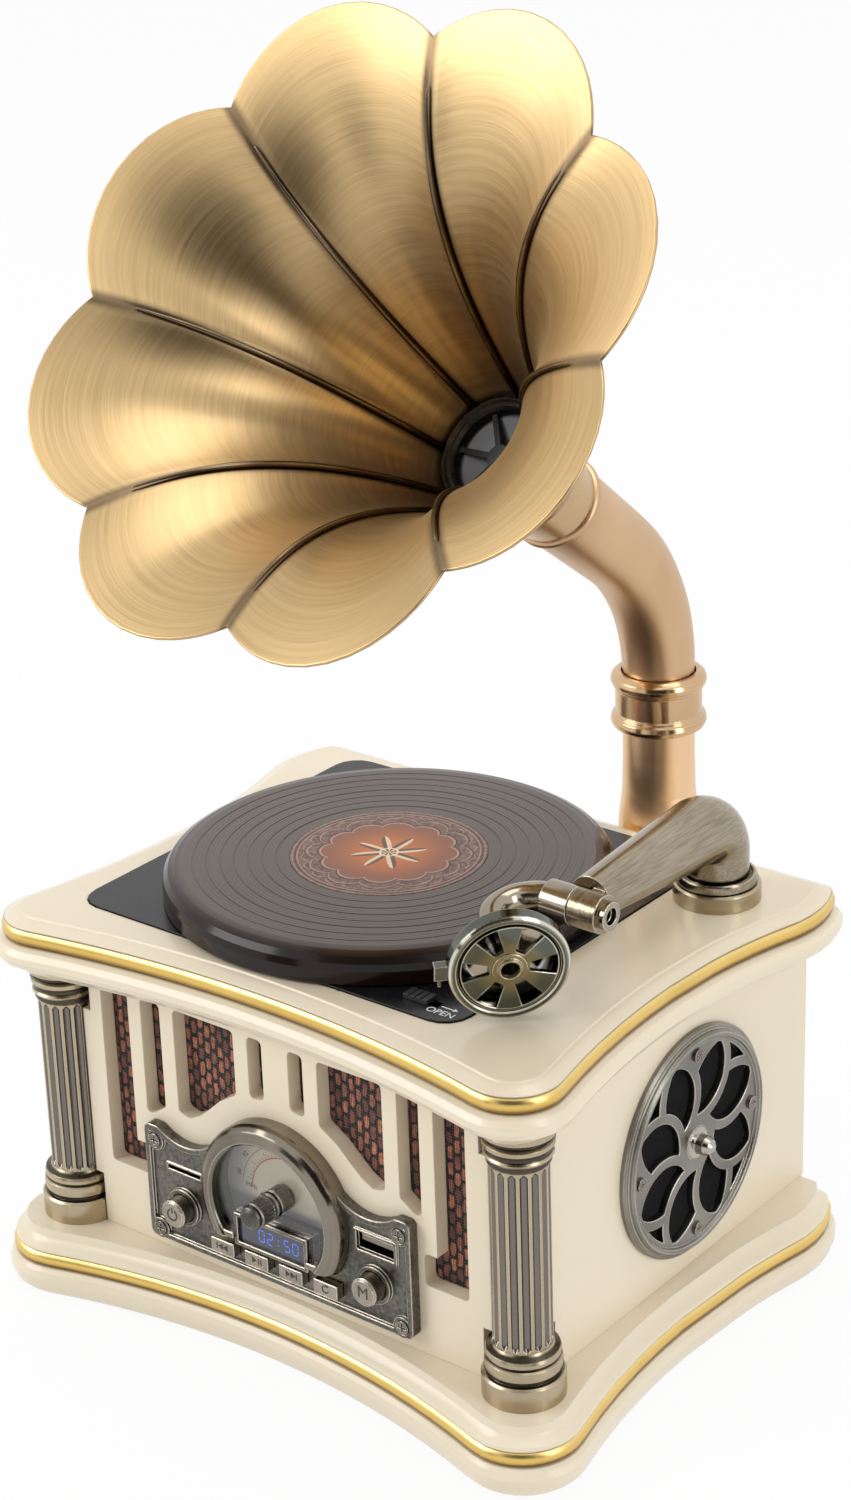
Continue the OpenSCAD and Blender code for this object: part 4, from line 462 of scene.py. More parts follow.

# The control panel: a pewter-coloured casting with a pebbled field, a raised rim, and bosses round the
# buttons and the sockets; its edges are lighter by wear and painted highlights, its recesses darker by patina
# and painted shade. Four screws hold it to the front wall.
pewter, tree, shader = finish("pewter casting", Metallic=1.0)
edges = place(tree, soft_edge, Radius=0.0007)
pebble = noise(tree, 900, 2)
cloud = noise(tree, 45)
shade = place(tree, recess, Depth=0.0022)["Shade"]
tone = mixed(stepped(times_plus(pebble, 0.5, times(cloud, 0.5)), 0.35, 0.65),
             (0.085, 0.079, 0.070), (0.20, 0.187, 0.162))
# Patina and painted shade in the recesses, then wear and painted highlights on the edges.
tone = mixed(times(stepped(shade, 0.1, 0.7), 0.9), tone, (0.016, 0.014, 0.012))
put(shader["Base Color"], mixed(times(edges["Edge"], 0.9), tone, (0.90, 0.82, 0.67)))
put(shader["Roughness"], times_plus(pebble, 0.2, 0.24))
relief(shader, pebble, 0.00012, edges["Normal"], 0.6)
dress(pewter, "control_panel")

# Tuning knob, power and mode buttons and the four keys: turned and pressed from plated brass, lighter on
# their edges by wear and painted highlights, and darker in their knurling by patina and painted shade. Each
# slides or turns in its hole of the casting.
button_metal = metal("plated buttons", (0.40, 0.355, 0.29), (0.27, 0.24, 0.195), (0.92, 0.85, 0.72),
                     scale=140, patina_and_shade=0.9, hollow=0.001, edge=0.0006)
dress(button_metal, "power_button", "mode_button", "previous_key", "play_key", "next_key", "repeat_key")
knob_metal = metal("knurled knob", (0.17, 0.16, 0.14), (0.07, 0.064, 0.056), (0.92, 0.87, 0.78), scale=120,
                   patina_and_shade=0.97, hollow=0.0008, edge=0.0005)
dress(knob_metal, "tuning_knob")

# The dial: a chromed D-shaped bezel, a clear plate in it and a printed cream card behind, with a red
# scale, ticks and numbers.
chrome = metal("dark chrome", (0.27, 0.235, 0.19), (0.17, 0.148, 0.118), (0.88, 0.81, 0.69),
               rough=(0.08, 0.18), scale=40, depth=0.00001, patina_and_shade=0.85, edge=0.0007)
dress(chrome, "dial_bezel")
lens_glass, tree, shader = finish("clear lens", Transmission_Weight=1.0, Roughness=0.02, IOR=1.45)
cloud = noise(tree, 25, 1)
put(shader["Base Color"], mixed(cloud, (0.93, 0.95, 0.96), (0.99, 0.99, 0.99)))
dress(lens_glass, "dial_lens")
dial_card, tree, shader = finish("printed dial card", Roughness=0.6)
where = spot(tree)
paper = noise(tree, 260)
band = stepped(calc("ABSOLUTE", where["X"]), 0.009, 0.019)
tone = mixed(band, (0.80, 0.71, 0.53), (0.40, 0.38, 0.34))
tone = mixed(fading(where["Z"], 0.0485, 0.0515), tone, (0.16, 0.16, 0.17))
put(shader["Base Color"], mixed(times(paper, 0.3), tone, (0.55, 0.48, 0.36)))
dress(dial_card, "dial_face")


def ink(name, colour, glow=0.0):
    """Printed or enamelled marks, a little uneven in their colour."""
    made, tree, shader = finish(name, Roughness=0.5, Emission_Strength=glow)
    cloud = noise(tree, 700, 2)
    tone = mixed(cloud, tuple(c * 0.75 for c in colour), colour)
    put(shader["Base Color"], tone)
    if glow:
        put(shader["Emission Color"], tone)
    return made


def curve_mesh(curve):
    """The bmesh of a text or of a curve with its thickness."""
    holder = bpy.data.objects.new(curve.name, curve)
    link(holder)
    bpy.context.view_layer.update()
    shape = bpy.data.meshes.new_from_object(holder.evaluated_get(bpy.context.evaluated_depsgraph_get()))
    bpy.data.objects.remove(holder)
    bm = bmesh.new()
    bm.from_mesh(shape)
    bpy.data.meshes.remove(shape)
    return bm


def lettering(text, size, thickness):
    """The mesh of a few letters or digits, flat in XY and centred at the origin."""
    curve = bpy.data.curves.new("lettering", "FONT")
    curve.body = text
    curve.size = size
    curve.extrude = thickness / 2
    curve.align_x = curve.align_y = "CENTER"
    return curve_mesh(curve)


def joined(name, parts, material, body, smooth=False):
    """Several small meshes, each with its place, as one piece."""
    whole = bmesh.new()
    for part, matrix in parts:
        part.transform(matrix)
        shape = as_mesh("part", part)
        whole.from_mesh(shape)
        bpy.data.meshes.remove(shape)
    for face in whole.faces:
        face.smooth = smooth
    return piece(name, as_mesh(name, whole), material, body)


def bar(width, depth, height):
    """A small straight bar with eased edges, centred at the origin."""
    bm = bmesh.new()
    bmesh.ops.create_cube(bm, size=1.0)
    bmesh.ops.scale(bm, verts=bm.verts, vec=(width, depth, height))
    bmesh.ops.bevel(bm, geom=bm.edges, offset=min(width, depth, height) * 0.15, segments=1, profile=0.5,
                    affect="EDGES", material=-1)
    return bm


def spun(bm, steps, angle=2 * pi, full=True):
    """Turns a line or a ring round the Z axis into a surface."""
    bmesh.ops.spin(bm, geom=bm.verts[:] + bm.edges[:], cent=(0, 0, 0), axis=(0, 0, 1), dvec=(0, 0, 0),
                   angle=angle, steps=steps, use_merge=full, use_duplicate=False)


def arc_strip(radius, width, thickness, first, last):
    """A flat strip bent round the origin in XY, between two angles in degrees."""
    bm = bmesh.new()
    bmesh.ops.create_cube(bm, size=1.0)
    bmesh.ops.scale(bm, verts=bm.verts, vec=(width, 0.00001, thickness))
    bmesh.ops.delete(bm, geom=[f for f in bm.faces if abs(f.normal.y) > 0.5], context="FACES_ONLY")
    bmesh.ops.delete(bm, geom=[v for v in bm.verts if v.co.y > 0], context="VERTS")
    bmesh.ops.translate(bm, verts=bm.verts, vec=(radius, 0.000005, 0))
    bmesh.ops.rotate(bm, verts=bm.verts, cent=(0, 0, 0), matrix=Matrix.Rotation(radians(first), 3, "Z"))
    spun(bm, 32, radians(last - first), False)
    bmesh.ops.holes_fill(bm, edges=bm.edges, sides=8)
    bmesh.ops.recalc_face_normals(bm, faces=bm.faces)
    return bm


def facing_front(x, y, z):
    """The place of a flat mark that is read from the front."""
    return Matrix.Translation((x, y, z)) @ Matrix.Rotation(pi / 2, 4, "X")


print_h = 0.00006
dial_x, dial_y = 0.001, -0.06826


def on_dial(radius, turn, spin=0.0):
    """The place of a mark on the dial card, by its radius and angle."""
    return (facing_front(dial_x + radius * cos(turn), dial_y, dial_z + radius * sin(turn))
            @ Matrix.Rotation(turn + spin, 4, "Z"))


scale_parts = [(arc_strip(0.0132, 0.0003, print_h, 52, 178), facing_front(dial_x, dial_y, dial_z)),
               (arc_strip(0.0166, 0.0002, print_h, 46, 172), facing_front(dial_x, dial_y, dial_z))]
for count in range(22):
    reach = 0.0019 if count % 4 == 0 else 0.0010
    scale_parts.append((bar(reach, 0.00018, print_h), on_dial(0.0134 + reach / 2, radians(56 + count * 5.6))))
joined("dial_scale", scale_parts, ink("red scale ink", (0.62, 0.05, 0.04)), "case")
number_parts = [(lettering("MHz", 0.0022, print_h), facing_front(-0.0125, dial_y, dial_z + 0.0005))]
for count, number in enumerate(("108", "104", "100", "96", "92", "88")):
    number_parts.append((lettering(number, 0.0022, print_h),
                         on_dial(0.0182, radians(58 + count * 22), -pi / 2)))
joined("dial_numbers", number_parts, ink("black dial ink", (0.03, 0.03, 0.03)), "case")

# The clock display: dark glass in the frame of the casting, with blue figures that glow behind it.
display_glass, tree, shader = finish("display glass", Coat_Weight=1.0, Coat_Roughness=0.03)
smear = noise(tree, 90)
put(shader["Base Color"], mixed(smear, (0.008, 0.009, 0.02), (0.02, 0.024, 0.055)))
put(shader["Roughness"], times_plus(smear, 0.15, 0.12))
dress(display_glass, "display")
SEGMENTS = {"0": "abcdef", "2": "abged", "5": "afgcd"}
digit_w, digit_h, stroke, figures_y, figures_z = 0.0019, 0.0036, 0.0004, -0.07504, 0.04255
ENDS = {"a": (0, 1), "b": (1, 0.5), "c": (1, -0.5), "d": (0, -1), "e": (-1, -0.5), "f": (-1, 0.5),
        "g": (0, 0)}
digit_parts = [(bar(0.0005, 0.0005, print_h), facing_front(0.0022, figures_y, figures_z + rise))
               for rise in (-0.0008, 0.0008)]
for middle, digit in ((-0.0040, "0"), (-0.0009, "2"), (0.0053, "5"), (0.0084, "0")):
    for across, rise in (ENDS[segment] for segment in SEGMENTS[digit]):
        size = (digit_w - 0.0005, stroke) if across == 0 else (stroke, digit_h / 2 - stroke)
        digit_parts.append((bar(*size, print_h), facing_front(middle + across * digit_w / 2, figures_y,
                                                              figures_z + rise * digit_h / 2)))
joined("display_figures", digit_parts, ink("blue figures", (0.12, 0.20, 0.72), 0.5), "case")

# Sunk marks on the buttons and keys, filled with dark enamel: a power sign, the letter M, and the signs
# for previous, play, next and repeat.
enamel_h = 0.00008
mark_ink = ink("dark enamel", (0.05, 0.045, 0.04))


def arrow_head(size, turn):
    """A flat triangle that points along its turn, in degrees."""
    bm = bmesh.new()
    bmesh.ops.create_circle(bm, cap_ends=True, segments=3, radius=size)
    grown = bmesh.ops.extrude_face_region(bm, geom=bm.faces[:])["geom"]
    top = [v for v in grown if isinstance(v, bmesh.types.BMVert)]
    bmesh.ops.translate(bm, verts=top, vec=(0, 0, enamel_h))
    bmesh.ops.recalc_face_normals(bm, faces=bm.faces)
    bmesh.ops.rotate(bm, verts=bm.verts, cent=(0, 0, 0), matrix=Matrix.Rotation(radians(turn - 90), 3, "Z"))
    return bm


button_x, button_y, button_z = 0.0352, -0.07843, 0.0402
key_y, key_z, repeat_x = -0.07543, 0.0338, 0.01905
power_ring = arc_strip(0.0017, 0.0005, enamel_h, 120, 420)
joined("power_mark", [(power_ring, facing_front(-button_x, button_y, button_z)),
                      (bar(0.0005, 0.0018, enamel_h), facing_front(-button_x, button_y, button_z + 0.0014))],
       mark_ink, "power_button")
joined("mode_mark", [(lettering("M", 0.0052, enamel_h), facing_front(button_x, button_y, button_z))],
       mark_ink, "mode_button")
for body, key_x, heads, bars in (
        ("previous_key", -0.01905, ((0.0012, 180), (-0.0006, 180)), (-0.0021,)),
        ("play_key", -0.00635, ((-0.0010, 0),), (0.0008, 0.0017)),
        ("next_key", 0.00635, ((-0.0012, 0), (0.0006, 0)), (0.0021,))):
    parts = [(arrow_head(0.0011, turn), facing_front(key_x + x, key_y, key_z)) for x, turn in heads]
    parts += [(bar(0.0004, 0.0019, enamel_h), facing_front(key_x + x, key_y, key_z)) for x in bars]
    joined(body + "_mark", parts, mark_ink, body)
repeat_ring = arc_strip(0.0011, 0.0004, enamel_h, 60, 340)
joined("repeat_key_mark", [(repeat_ring, facing_front(repeat_x, key_y, key_z)),
                           (arrow_head(0.0006, 150), facing_front(repeat_x + 0.0006, key_y, key_z + 0.0011))],
       mark_ink, "repeat_key")

# Hinge pin, disc drive and lead screw: plain bright metal, as stamped or drawn. The pin sits in the
# hinge strap, the drive hangs under the disc well and the screw lies beside the pickup.
bare_metal = metal("bare metal", (0.66, 0.66, 0.67), (0.46, 0.46, 0.47), (0.90, 0.90, 0.90), grain=(1, 8, 1),
                   patina_and_shade=0.7)
dress(bare_metal, "hinge_pin", "disc_drive", "lead_screw")

# Control board and main board: glass-fibre boards with a green solder mask over their copper tracks. One
# is screwed behind the control panel, the other inside the cabinet.
board, tree, shader = finish("green circuit board", Coat_Weight=0.4, Coat_Roughness=0.2)
tracks = add(tree, "TexBrick", {"Vector": add(tree, "TexCoord").outputs["Object"], "Scale": 300.0,
                                "Color1": (0.01, 0.10, 0.045), "Color2": (0.015, 0.14, 0.06),
                                "Mortar": (0.10, 0.22, 0.10), "Mortar Size": 0.03})
weave = noise(tree, 400)
put(shader["Base Color"], mixed(times(weave, 0.3), tracks.outputs["Color"], (0.02, 0.06, 0.03)))
put(shader["Roughness"], times_plus(weave, 0.2, 0.35))
relief(shader, tracks.outputs["Fac"], 0.00004)
dress(board, "control_board", "main_board")

# The round side grilles: pewter-coloured castings with swirl windows, light along their raised outlines by
# wear and painted highlights. Black cloth is stretched behind them, and three screws and a hub hold each to
# the side.
grille_metal = metal("grille casting", (0.28, 0.27, 0.238), (0.17, 0.163, 0.142), (0.92, 0.87, 0.76),
                     rough=(0.24, 0.38), scale=55, patina_and_shade=0.85, hollow=0.0015, edge=0.0007)
grille_x, grille_y, grille_z, knit_r, knit_pitch = 0.0843, 0.009, 0.063, 0.0296, 0.0008
tree, shader = opened(grille_metal)
where = spot(tree)
from_hub = distance(minus(where["Y"], grille_y), minus(where["Z"], grille_z))
hub = fading(from_hub, 0.0044, 0.0050)
put(shader["Base Color"], mixed(times(hub, 0.8), linked(shader["Base Color"]), (0.50, 0.47, 0.41)))
put(shader["Roughness"], times_plus(hub, -0.2, linked(shader["Roughness"])))
dress(grille_metal, "left_grille", "right_grille")
knit, tree, shader = finish("black speaker knit", Sheen_Weight=0.05, Specular_IOR_Level=0.05)
where = spot(tree)
ribs = times(*(calc("SINE", times(where[way], 2 * pi / knit_pitch)) for way in "YZ"))
put(shader["Base Color"], mixed(times_plus(ribs, 0.5, 0.5), (0.002, 0.002, 0.002), (0.010, 0.010, 0.011)))
shader["Roughness"].default_value = 0.9
relief(shader, ribs, 0.0003)
for side, disc_name in ((1, "right_knit_disc"), (-1, "left_knit_disc")):
    bm = bmesh.new()
    bmesh.ops.create_circle(bm, cap_ends=True, segments=64, radius=knit_r)
    bmesh.ops.inset_region(bm, faces=bm.faces[:], thickness=0.006, use_even_offset=True)
    disc_area = sum(f.calc_area() for f in bm.faces)
    knit_disc = joined(disc_name, [(bm, Matrix.Translation((side * grille_x, grille_y, grille_z))
                                    @ Matrix.Rotation(side * pi / 2, 4, "Y"))], knit, "case")
    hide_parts("grille_cloths")

# Loudspeakers, horn driver and pipe bracket: steel and magnets under a dark satin paint. The speakers sit
# behind the side grilles, the driver behind the throat, and the bracket holds the pipe at the rear.
dark_steel = metal("dark painted steel", (0.16, 0.16, 0.165), (0.10, 0.10, 0.105), (0.32, 0.32, 0.33),
                   rough=(0.4, 0.55), patina_and_shade=0.6)
dress(dark_steel, "left_speaker", "right_speaker", "horn_driver", "pipe_bracket")


# The deck panel is a glossy black plastic plate with the disc well in it. The same black plastic makes
# the hinge strap, the open slider, the disc spindle, the throat ring, the pickup and the rear jacks.
def plastic(name, dark, light, rough):
    """Moulded plastic with a faint unevenness, lighter on its edges by wear and painted highlights."""
    made, tree, shader = finish(name, Coat_Weight=0.1, Coat_Roughness=0.05, Specular_IOR_Level=0.35)
    edges = place(tree, soft_edge, Radius=0.0003)
    cloud = noise(tree, 260)
    wear_and_highlight = tuple(c * 5 + 0.04 for c in light)
    # Wear and painted highlights lighten the edges.
    put(shader["Base Color"], mixed(times(edges["Edge"], 0.3), mixed(cloud, dark, light), wear_and_highlight))
    put(shader["Roughness"], times_plus(cloud, 0.15, rough))
    relief(shader, cloud, 0.00003, edges["Normal"], 0.5)
    return made


black_gloss = plastic("black gloss panel", (0.006, 0.006, 0.007), (0.011, 0.011, 0.012), 0.2)
black_plastic = plastic("black moulded plastic", (0.016, 0.016, 0.016), (0.032, 0.032, 0.032), 0.3)
dress(black_gloss, "deck_panel", "throat_ring")
dress(black_plastic, "lid_strap", "open_slider", "disc_spindle", "optical_pickup", "rear_jacks")
panel_z, thin_print_h, arrow_y = 0.1230, 0.00003, -0.0562
print_z = panel_z + thin_print_h / 2
open_parts = [(lettering("OPEN", 0.0035, thin_print_h), Matrix.Translation((0.0503, -0.0592, print_z))),
              (bar(0.0044, 0.0004, thin_print_h), Matrix.Translation((0.0507, arrow_y, print_z))),
              (arrow_head(0.0009, 0), Matrix.Translation((0.0531, arrow_y, panel_z)))]
# The white print has a faint glow, which is painted light.
joined("open_lettering", open_parts, ink("white print", (0.90, 0.90, 0.88), 0.15), "case")

# The lid of the disc well, shaped like a record: smoky brown plastic with fine grooves in its top
# and a soft shoulder, opaque here. It hinges at the rear left on the strap under it.
lid_middle = (-0.0105, -0.0045)


def from_lid_middle(tree):
    """Offsets from the middle of the lid in X and Y, and the distance from it."""
    east, north = (minus(value, middle) for value, middle in zip(spot(tree), lid_middle))
    return east, north, distance(east, north)


lid_finish, tree, shader = finish("smoky brown lid", Coat_Roughness=0.08, Specular_IOR_Level=0.25)
from_middle = from_lid_middle(tree)[2]
groove, band_wave = (calc("SINE", times(from_middle, 2 * pi / pitch)) for pitch in (0.0011, 0.0074))
in_bands = times(stepped(from_middle, 0.0295, 0.0315), fading(from_middle, 0.0545, 0.0580))
shoulder = stepped(from_middle, 0.0590, 0.0640)
haze = noise(tree, 30)
tone = mixed(haze, (0.070, 0.048, 0.039), (0.090, 0.063, 0.052))
tone = mixed(times(times_plus(band_wave, 0.5, 0.5), times(in_bands, 0.15)), tone, (0.052, 0.036, 0.030))
put(shader["Base Color"], mixed(shoulder, tone, (0.011, 0.005, 0.0035)))
put(shader["Coat Weight"], times_plus(shoulder, -0.22, 0.33))
put(shader["Roughness"], times_plus(in_bands, 0.14, 0.16))
relief(shader, times(groove, in_bands), 0.00002)
dress(lid_finish, "record_lid")

# The paper label: an orange glow in the middle with a plain rosette, and a brown ring of wavy
# lines round it. It is glued into a shallow recess of the lid.
label, tree, shader = finish("printed label", Coat_Weight=0.06, Coat_Roughness=0.1, Specular_IOR_Level=0.2)
east, north, from_middle = from_lid_middle(tree)
turn = calc("ARCTAN2", north, east)


def petals(count, inner, outer, phase=0.0):
    """The radius of a wavy outline with that many rounded lobes."""
    wave = calc("ABSOLUTE", calc("COSINE", times_plus(turn, count / 2, phase)))
    return times_plus(calc("POWER", wave, 0.6), outer - inner, inner)


def line_at(radius, width):
    """A thin line along an outline."""
    away = calc("ABSOLUTE", minus(from_middle, radius))
    return fading(away, width * 0.5, width)


glow = stepped(from_middle, 0.003, 0.0195)
paper = noise(tree, 180, 4)
tone = mixed(glow, (0.62, 0.19, 0.05), (0.27, 0.11, 0.065))
outline = petals(12, 0.0175, 0.0200)
ring_tone = mixed(stepped(noise(tree, 900, 4), 0.35, 0.65), (0.105, 0.060, 0.048), (0.25, 0.155, 0.125))
beyond = stepped(minus(from_middle, outline), -0.0001, 0.0001)
tone = mixed(beyond, tone, ring_tone)
pale_line, dark_line = (0.50, 0.33, 0.26), (0.035, 0.02, 0.016)
for radius, width, strength, line_tone in (
        (outline, 0.0004, 0.9, pale_line), (petals(12, 0.0205, 0.0238), 0.0003, 0.7, pale_line),
        (petals(24, 0.0225, 0.0252, pi / 4), 0.00028, 0.6, pale_line), (0.0264, 0.0003, 0.7, pale_line),
        (0.0278, 0.0003, 0.5, pale_line), (petals(12, 0.0181, 0.0207), 0.0003, 0.8, dark_line),
        (petals(12, 0.0212, 0.0245), 0.0003, 0.6, dark_line), (0.0270, 0.0004, 0.7, dark_line)):
    tone = mixed(times(line_at(radius, width), strength), tone, line_tone)
star = times_plus(calc("POWER", calc("ABSOLUTE", calc("COSINE", times(turn, 4.0))), 2.5), 0.0075, 0.0035)
star_mask = fading(minus(from_middle, star), -0.0002, 0.0002)
half = stepped(calc("SINE", times(turn, 8.0)), -0.05, 0.05)
star_tone = mixed(half, (0.86, 0.66, 0.45), (0.13, 0.085, 0.07))
tone = mixed(star_mask, tone, star_tone)
tone = mixed(line_at(0.0026, 0.0004), tone, (0.9, 0.75, 0.5))
put(shader["Base Color"], mixed(times(paper, 0.25), tone, (0.20, 0.13, 0.11)))
put(shader["Roughness"], times_plus(paper, 0.15, 0.3))
dress(label, "record_label")

# The tonearm: a cast elbow and tapering tube in brushed antique pewter, on a turned foot. The joint
# barrel, its pin and the hooked arm that carries the sound box are plated alike.
arm_metal = metal("brushed tonearm", (0.42, 0.36, 0.27), (0.25, 0.21, 0.15), (0.88, 0.80, 0.62),
                  rough=(0.14, 0.26), grain=(10, 0.3, 10), scale=170, patina_and_shade=0.95, edge=0.0006)
barrel_metal = metal("polished barrel", (0.42, 0.365, 0.29), (0.26, 0.22, 0.17), (0.92, 0.87, 0.76),
                     rough=(0.07, 0.16), scale=30, depth=0.00001, patina_and_shade=0.97, hollow=0.003, edge=0.0005)
foot_brass = metal("turned tonearm foot", (0.52, 0.44, 0.30), (0.36, 0.30, 0.20), (0.90, 0.82, 0.62),
                   rough=(0.16, 0.3), grain=(1, 1, 6), patina_and_shade=1.0, hollow=0.002, edge=0.0006)
dress(foot_brass, "tonearm_base")
smooth_copy("tonearm_tube", "tonearm_casting", arm_metal, "tonearm", 38)
dress(barrel_metal, "joint_pin")
smooth_copy("reproducer_arm", "hooked_arm", barrel_metal, "reproducer", 38)

# The sound box: a spoked ring of gunmetal with rims painted lighter, for wear and as painted highlights, a
# brass hub plate and a needle clamp. It is fixed to the end of the hooked arm and tips up with it.
gunmetal = metal("gunmetal sound box", (0.155, 0.165, 0.135), (0.085, 0.09, 0.075), (0.90, 0.86, 0.72),
                 rough=(0.06, 0.16), scale=30, depth=0.00001, patina_and_shade=1.0, hollow=0.003, edge=0.0007)
hub_brass = metal("brass hub plate", (0.30, 0.245, 0.13), (0.20, 0.16, 0.08), (0.90, 0.84, 0.64),
                  rough=(0.14, 0.26), patina_and_shade=1.0, hollow=0.0015, edge=0.0006)
tree, shader = opened(gunmetal)
box_x, box_y, box_z, box_turn, box_tip = 0.0700, -0.0543, 0.1401, radians(47.5), radians(9.7)
to_box = (Matrix.Translation((box_x, box_y, box_z)) @ Matrix.Rotation(box_turn, 4, "Z")
          @ Matrix.Rotation(pi / 2 + box_tip, 4, "X")).inverted()
where = add(tree, "TexCoord").outputs["Object"]
in_box = []
for row in to_box:
    along = add(tree, "VectorMath", {0: where, 1: tuple(row[:3])}, operation="DOT_PRODUCT").outputs["Value"]
    in_box.append(plus(along, row[3]))
from_hub = distance(in_box[0], in_box[1])
on_face = stepped(in_box[2], -0.0012, -0.0008)
inner = fading(from_hub, 0.0050, 0.0105)
tone = mixed(times(times(inner, on_face), 0.85), linked(shader["Base Color"]), (0.25, 0.215, 0.115))
rim_wear_and_highlight, dark_ring = (0.80, 0.76, 0.64), (0.012, 0.012, 0.01)
# Pale lines along the rims, for wear and as painted highlights, with a dark line between them.
for radius, half_width, strength, line_tone in (
        (0.01345, 0.0004, 1.0, dark_ring), (0.0159, 0.0004, 0.8, rim_wear_and_highlight),
        (0.0143, 0.0003, 0.7, rim_wear_and_highlight), (0.0130, 0.0002, 0.6, rim_wear_and_highlight)):
    rim_line = fading(calc("ABSOLUTE", minus(from_hub, radius)), half_width * 0.5, half_width)
    tone = mixed(times(times(rim_line, on_face), strength), tone, line_tone)
behind = times(fading(in_box[2], -0.0068, -0.0045), fading(from_hub, 0.0108, 0.0118))
put(shader["Base Color"], mixed(behind, tone, (0.55, 0.53, 0.50)))
dress(gunmetal, "sound_box", "needle_clamp")
dress(hub_brass, "sound_box_hub")

# The pipe from the rear bracket to the horn: brass tube with a polished copper-coloured lacquer. The
# lower pipe and the neck meet in a turned collar, and the neck ends in the horn's socket.
pipe_copper = metal("copper lacquer", (0.70, 0.475, 0.285), (0.56, 0.36, 0.205), (0.94, 0.78, 0.56),
                    rough=(0.28, 0.42), grain=(1, 1, 0.2), scale=26, depth=0.00002, patina_and_shade=0.95,
                    hollow=0.0012, edge=0.0004)
# The lower pipe takes a lighter copy of the same copper, as painted light.
lower_copper_painted_lighter = metal("lighter-painted copper of the lower pipe", (0.90, 0.63, 0.385), (0.76, 0.50, 0.29),
                     (0.96, 0.80, 0.58), rough=(0.28, 0.4), grain=(1, 1, 0.2), scale=26, depth=0.00002,
                     patina_and_shade=0.9, hollow=0.0012, edge=0.0004)
dress(lower_copper_painted_lighter, "lower_pipe")
collar_copper = metal("polished collar", (0.68, 0.47, 0.27), (0.54, 0.36, 0.20), (0.96, 0.82, 0.60),
                      rough=(0.12, 0.2), scale=26, depth=0.00001, patina_and_shade=1.0, hollow=0.002, edge=0.0005)
dress(collar_copper, "pipe_collar")


def tube_along(points, radii, sides):
    """The mesh of a round tube that follows a line of points, with a radius at each."""
    curve = bpy.data.curves.new("line", "CURVE")
    curve.dimensions = "3D"
    curve.twist_mode = "MINIMUM"
    curve.bevel_depth = 1.0
    curve.bevel_resolution = sides // 4
    curve.use_fill_caps = False
    spline = curve.splines.new("POLY")
    spline.points.add(len(points) - 1)
    for target, point, radius in zip(spline.points, points, radii):
        target.co = (*point, 1)
        target.radius = radius
    return curve_mesh(curve)


lean = radians(52.2)
pipe_x, pipe_y, bend_z, bend_r = 0.0235, 0.083, 0.167, 0.058
horn_axis = Vector((0, -sin(lean), cos(lean)))
bend_end = Vector((pipe_x, pipe_y - bend_r * (1 - cos(lean)), bend_z + bend_r * sin(lean)))
neck_low, neck_middle, neck_length = 0.1584, 0.1625, 0.0368
pipe_r, pipe_flare, flare_at_bend, pipe_wall = 0.01075, 0.00215, 0.55, 0.0014
lip_r, lip_ring_r, lip_at = 0.0016, 0.0124, 0.0351
neck_points = [Vector((pipe_x, pipe_y, neck_low)), Vector((pipe_x, pipe_y, neck_middle))]
neck_radii = [pipe_r, pipe_r]
for step in range(25):
    turned = lean * step / 24
    neck_points.append(Vector((pipe_x, pipe_y - bend_r * (1 - cos(turned)), bend_z + bend_r * sin(turned))))
    neck_radii.append(pipe_r + pipe_flare * flare_at_bend * step / 24)
for step in range(1, 9):
    neck_points.append(bend_end + horn_axis * neck_length * step / 8)
    neck_radii.append(pipe_r + pipe_flare * (flare_at_bend + (1 - flare_at_bend) * step / 8))
bm = tube_along(neck_points, neck_radii, 32)
bmesh.ops.recalc_face_normals(bm, faces=bm.faces)
bmesh.ops.solidify(bm, geom=bm.faces[:], thickness=pipe_wall)
lip = bmesh.new()
bmesh.ops.create_circle(lip, segments=10, radius=lip_r)
bmesh.ops.rotate(lip, verts=lip.verts, cent=(0, 0, 0), matrix=Matrix.Rotation(pi / 2, 3, "X"))
bmesh.ops.translate(lip, verts=lip.verts, vec=(lip_ring_r, 0, 0))
spun(lip, 64)
bmesh.ops.recalc_face_normals(lip, faces=lip.faces)
lip_place = Matrix.Translation(bend_end + horn_axis * lip_at) @ Matrix.Rotation(lean, 4, "X")
neck = joined("neck_bend", [(bm, Matrix.Identity(4)), (lip, lip_place)], pipe_copper, "case",
              True)
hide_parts("neck_pipe")

# The horn: eight petals pressed from thin brass sheet, brushed in circles round its axis and lacquered.
# The seams between the petals are narrow dark beads that fade out before the rim.
bend_to_notches, notch_r, throat_r, horn_depth, curl = 0.152, 0.0794, 0.0172, 0.086, 0.008
horn_place = Matrix.Translation(bend_end + horn_axis * bend_to_notches) @ Matrix.Rotation(lean, 4, "X")
fall = (notch_r - throat_r) / log(1 + horn_depth / curl)
petal_reach, petal_swell, first_seam = 0.0116, 0.0031, radians(92.7)


def on_horn(behind, share, turned, lift=0.0):
    """A point of the horn's inner face: depth behind the notches, share across a petal, direction."""
    r = notch_r - fall * log(1 + behind / curl)
    hump = (1 - (2 * share - 1) ** 2) * (max(0.0, r - throat_r) / (notch_r - throat_r)) ** 1.1
    slope = fall / (behind + curl)
    along = (1 + slope * slope) ** 0.5
    radius = r + petal_reach * hump - lift / along
    height = petal_swell * hump - behind + lift * slope / along
    return Vector((radius * cos(turned), radius * sin(turned), height))


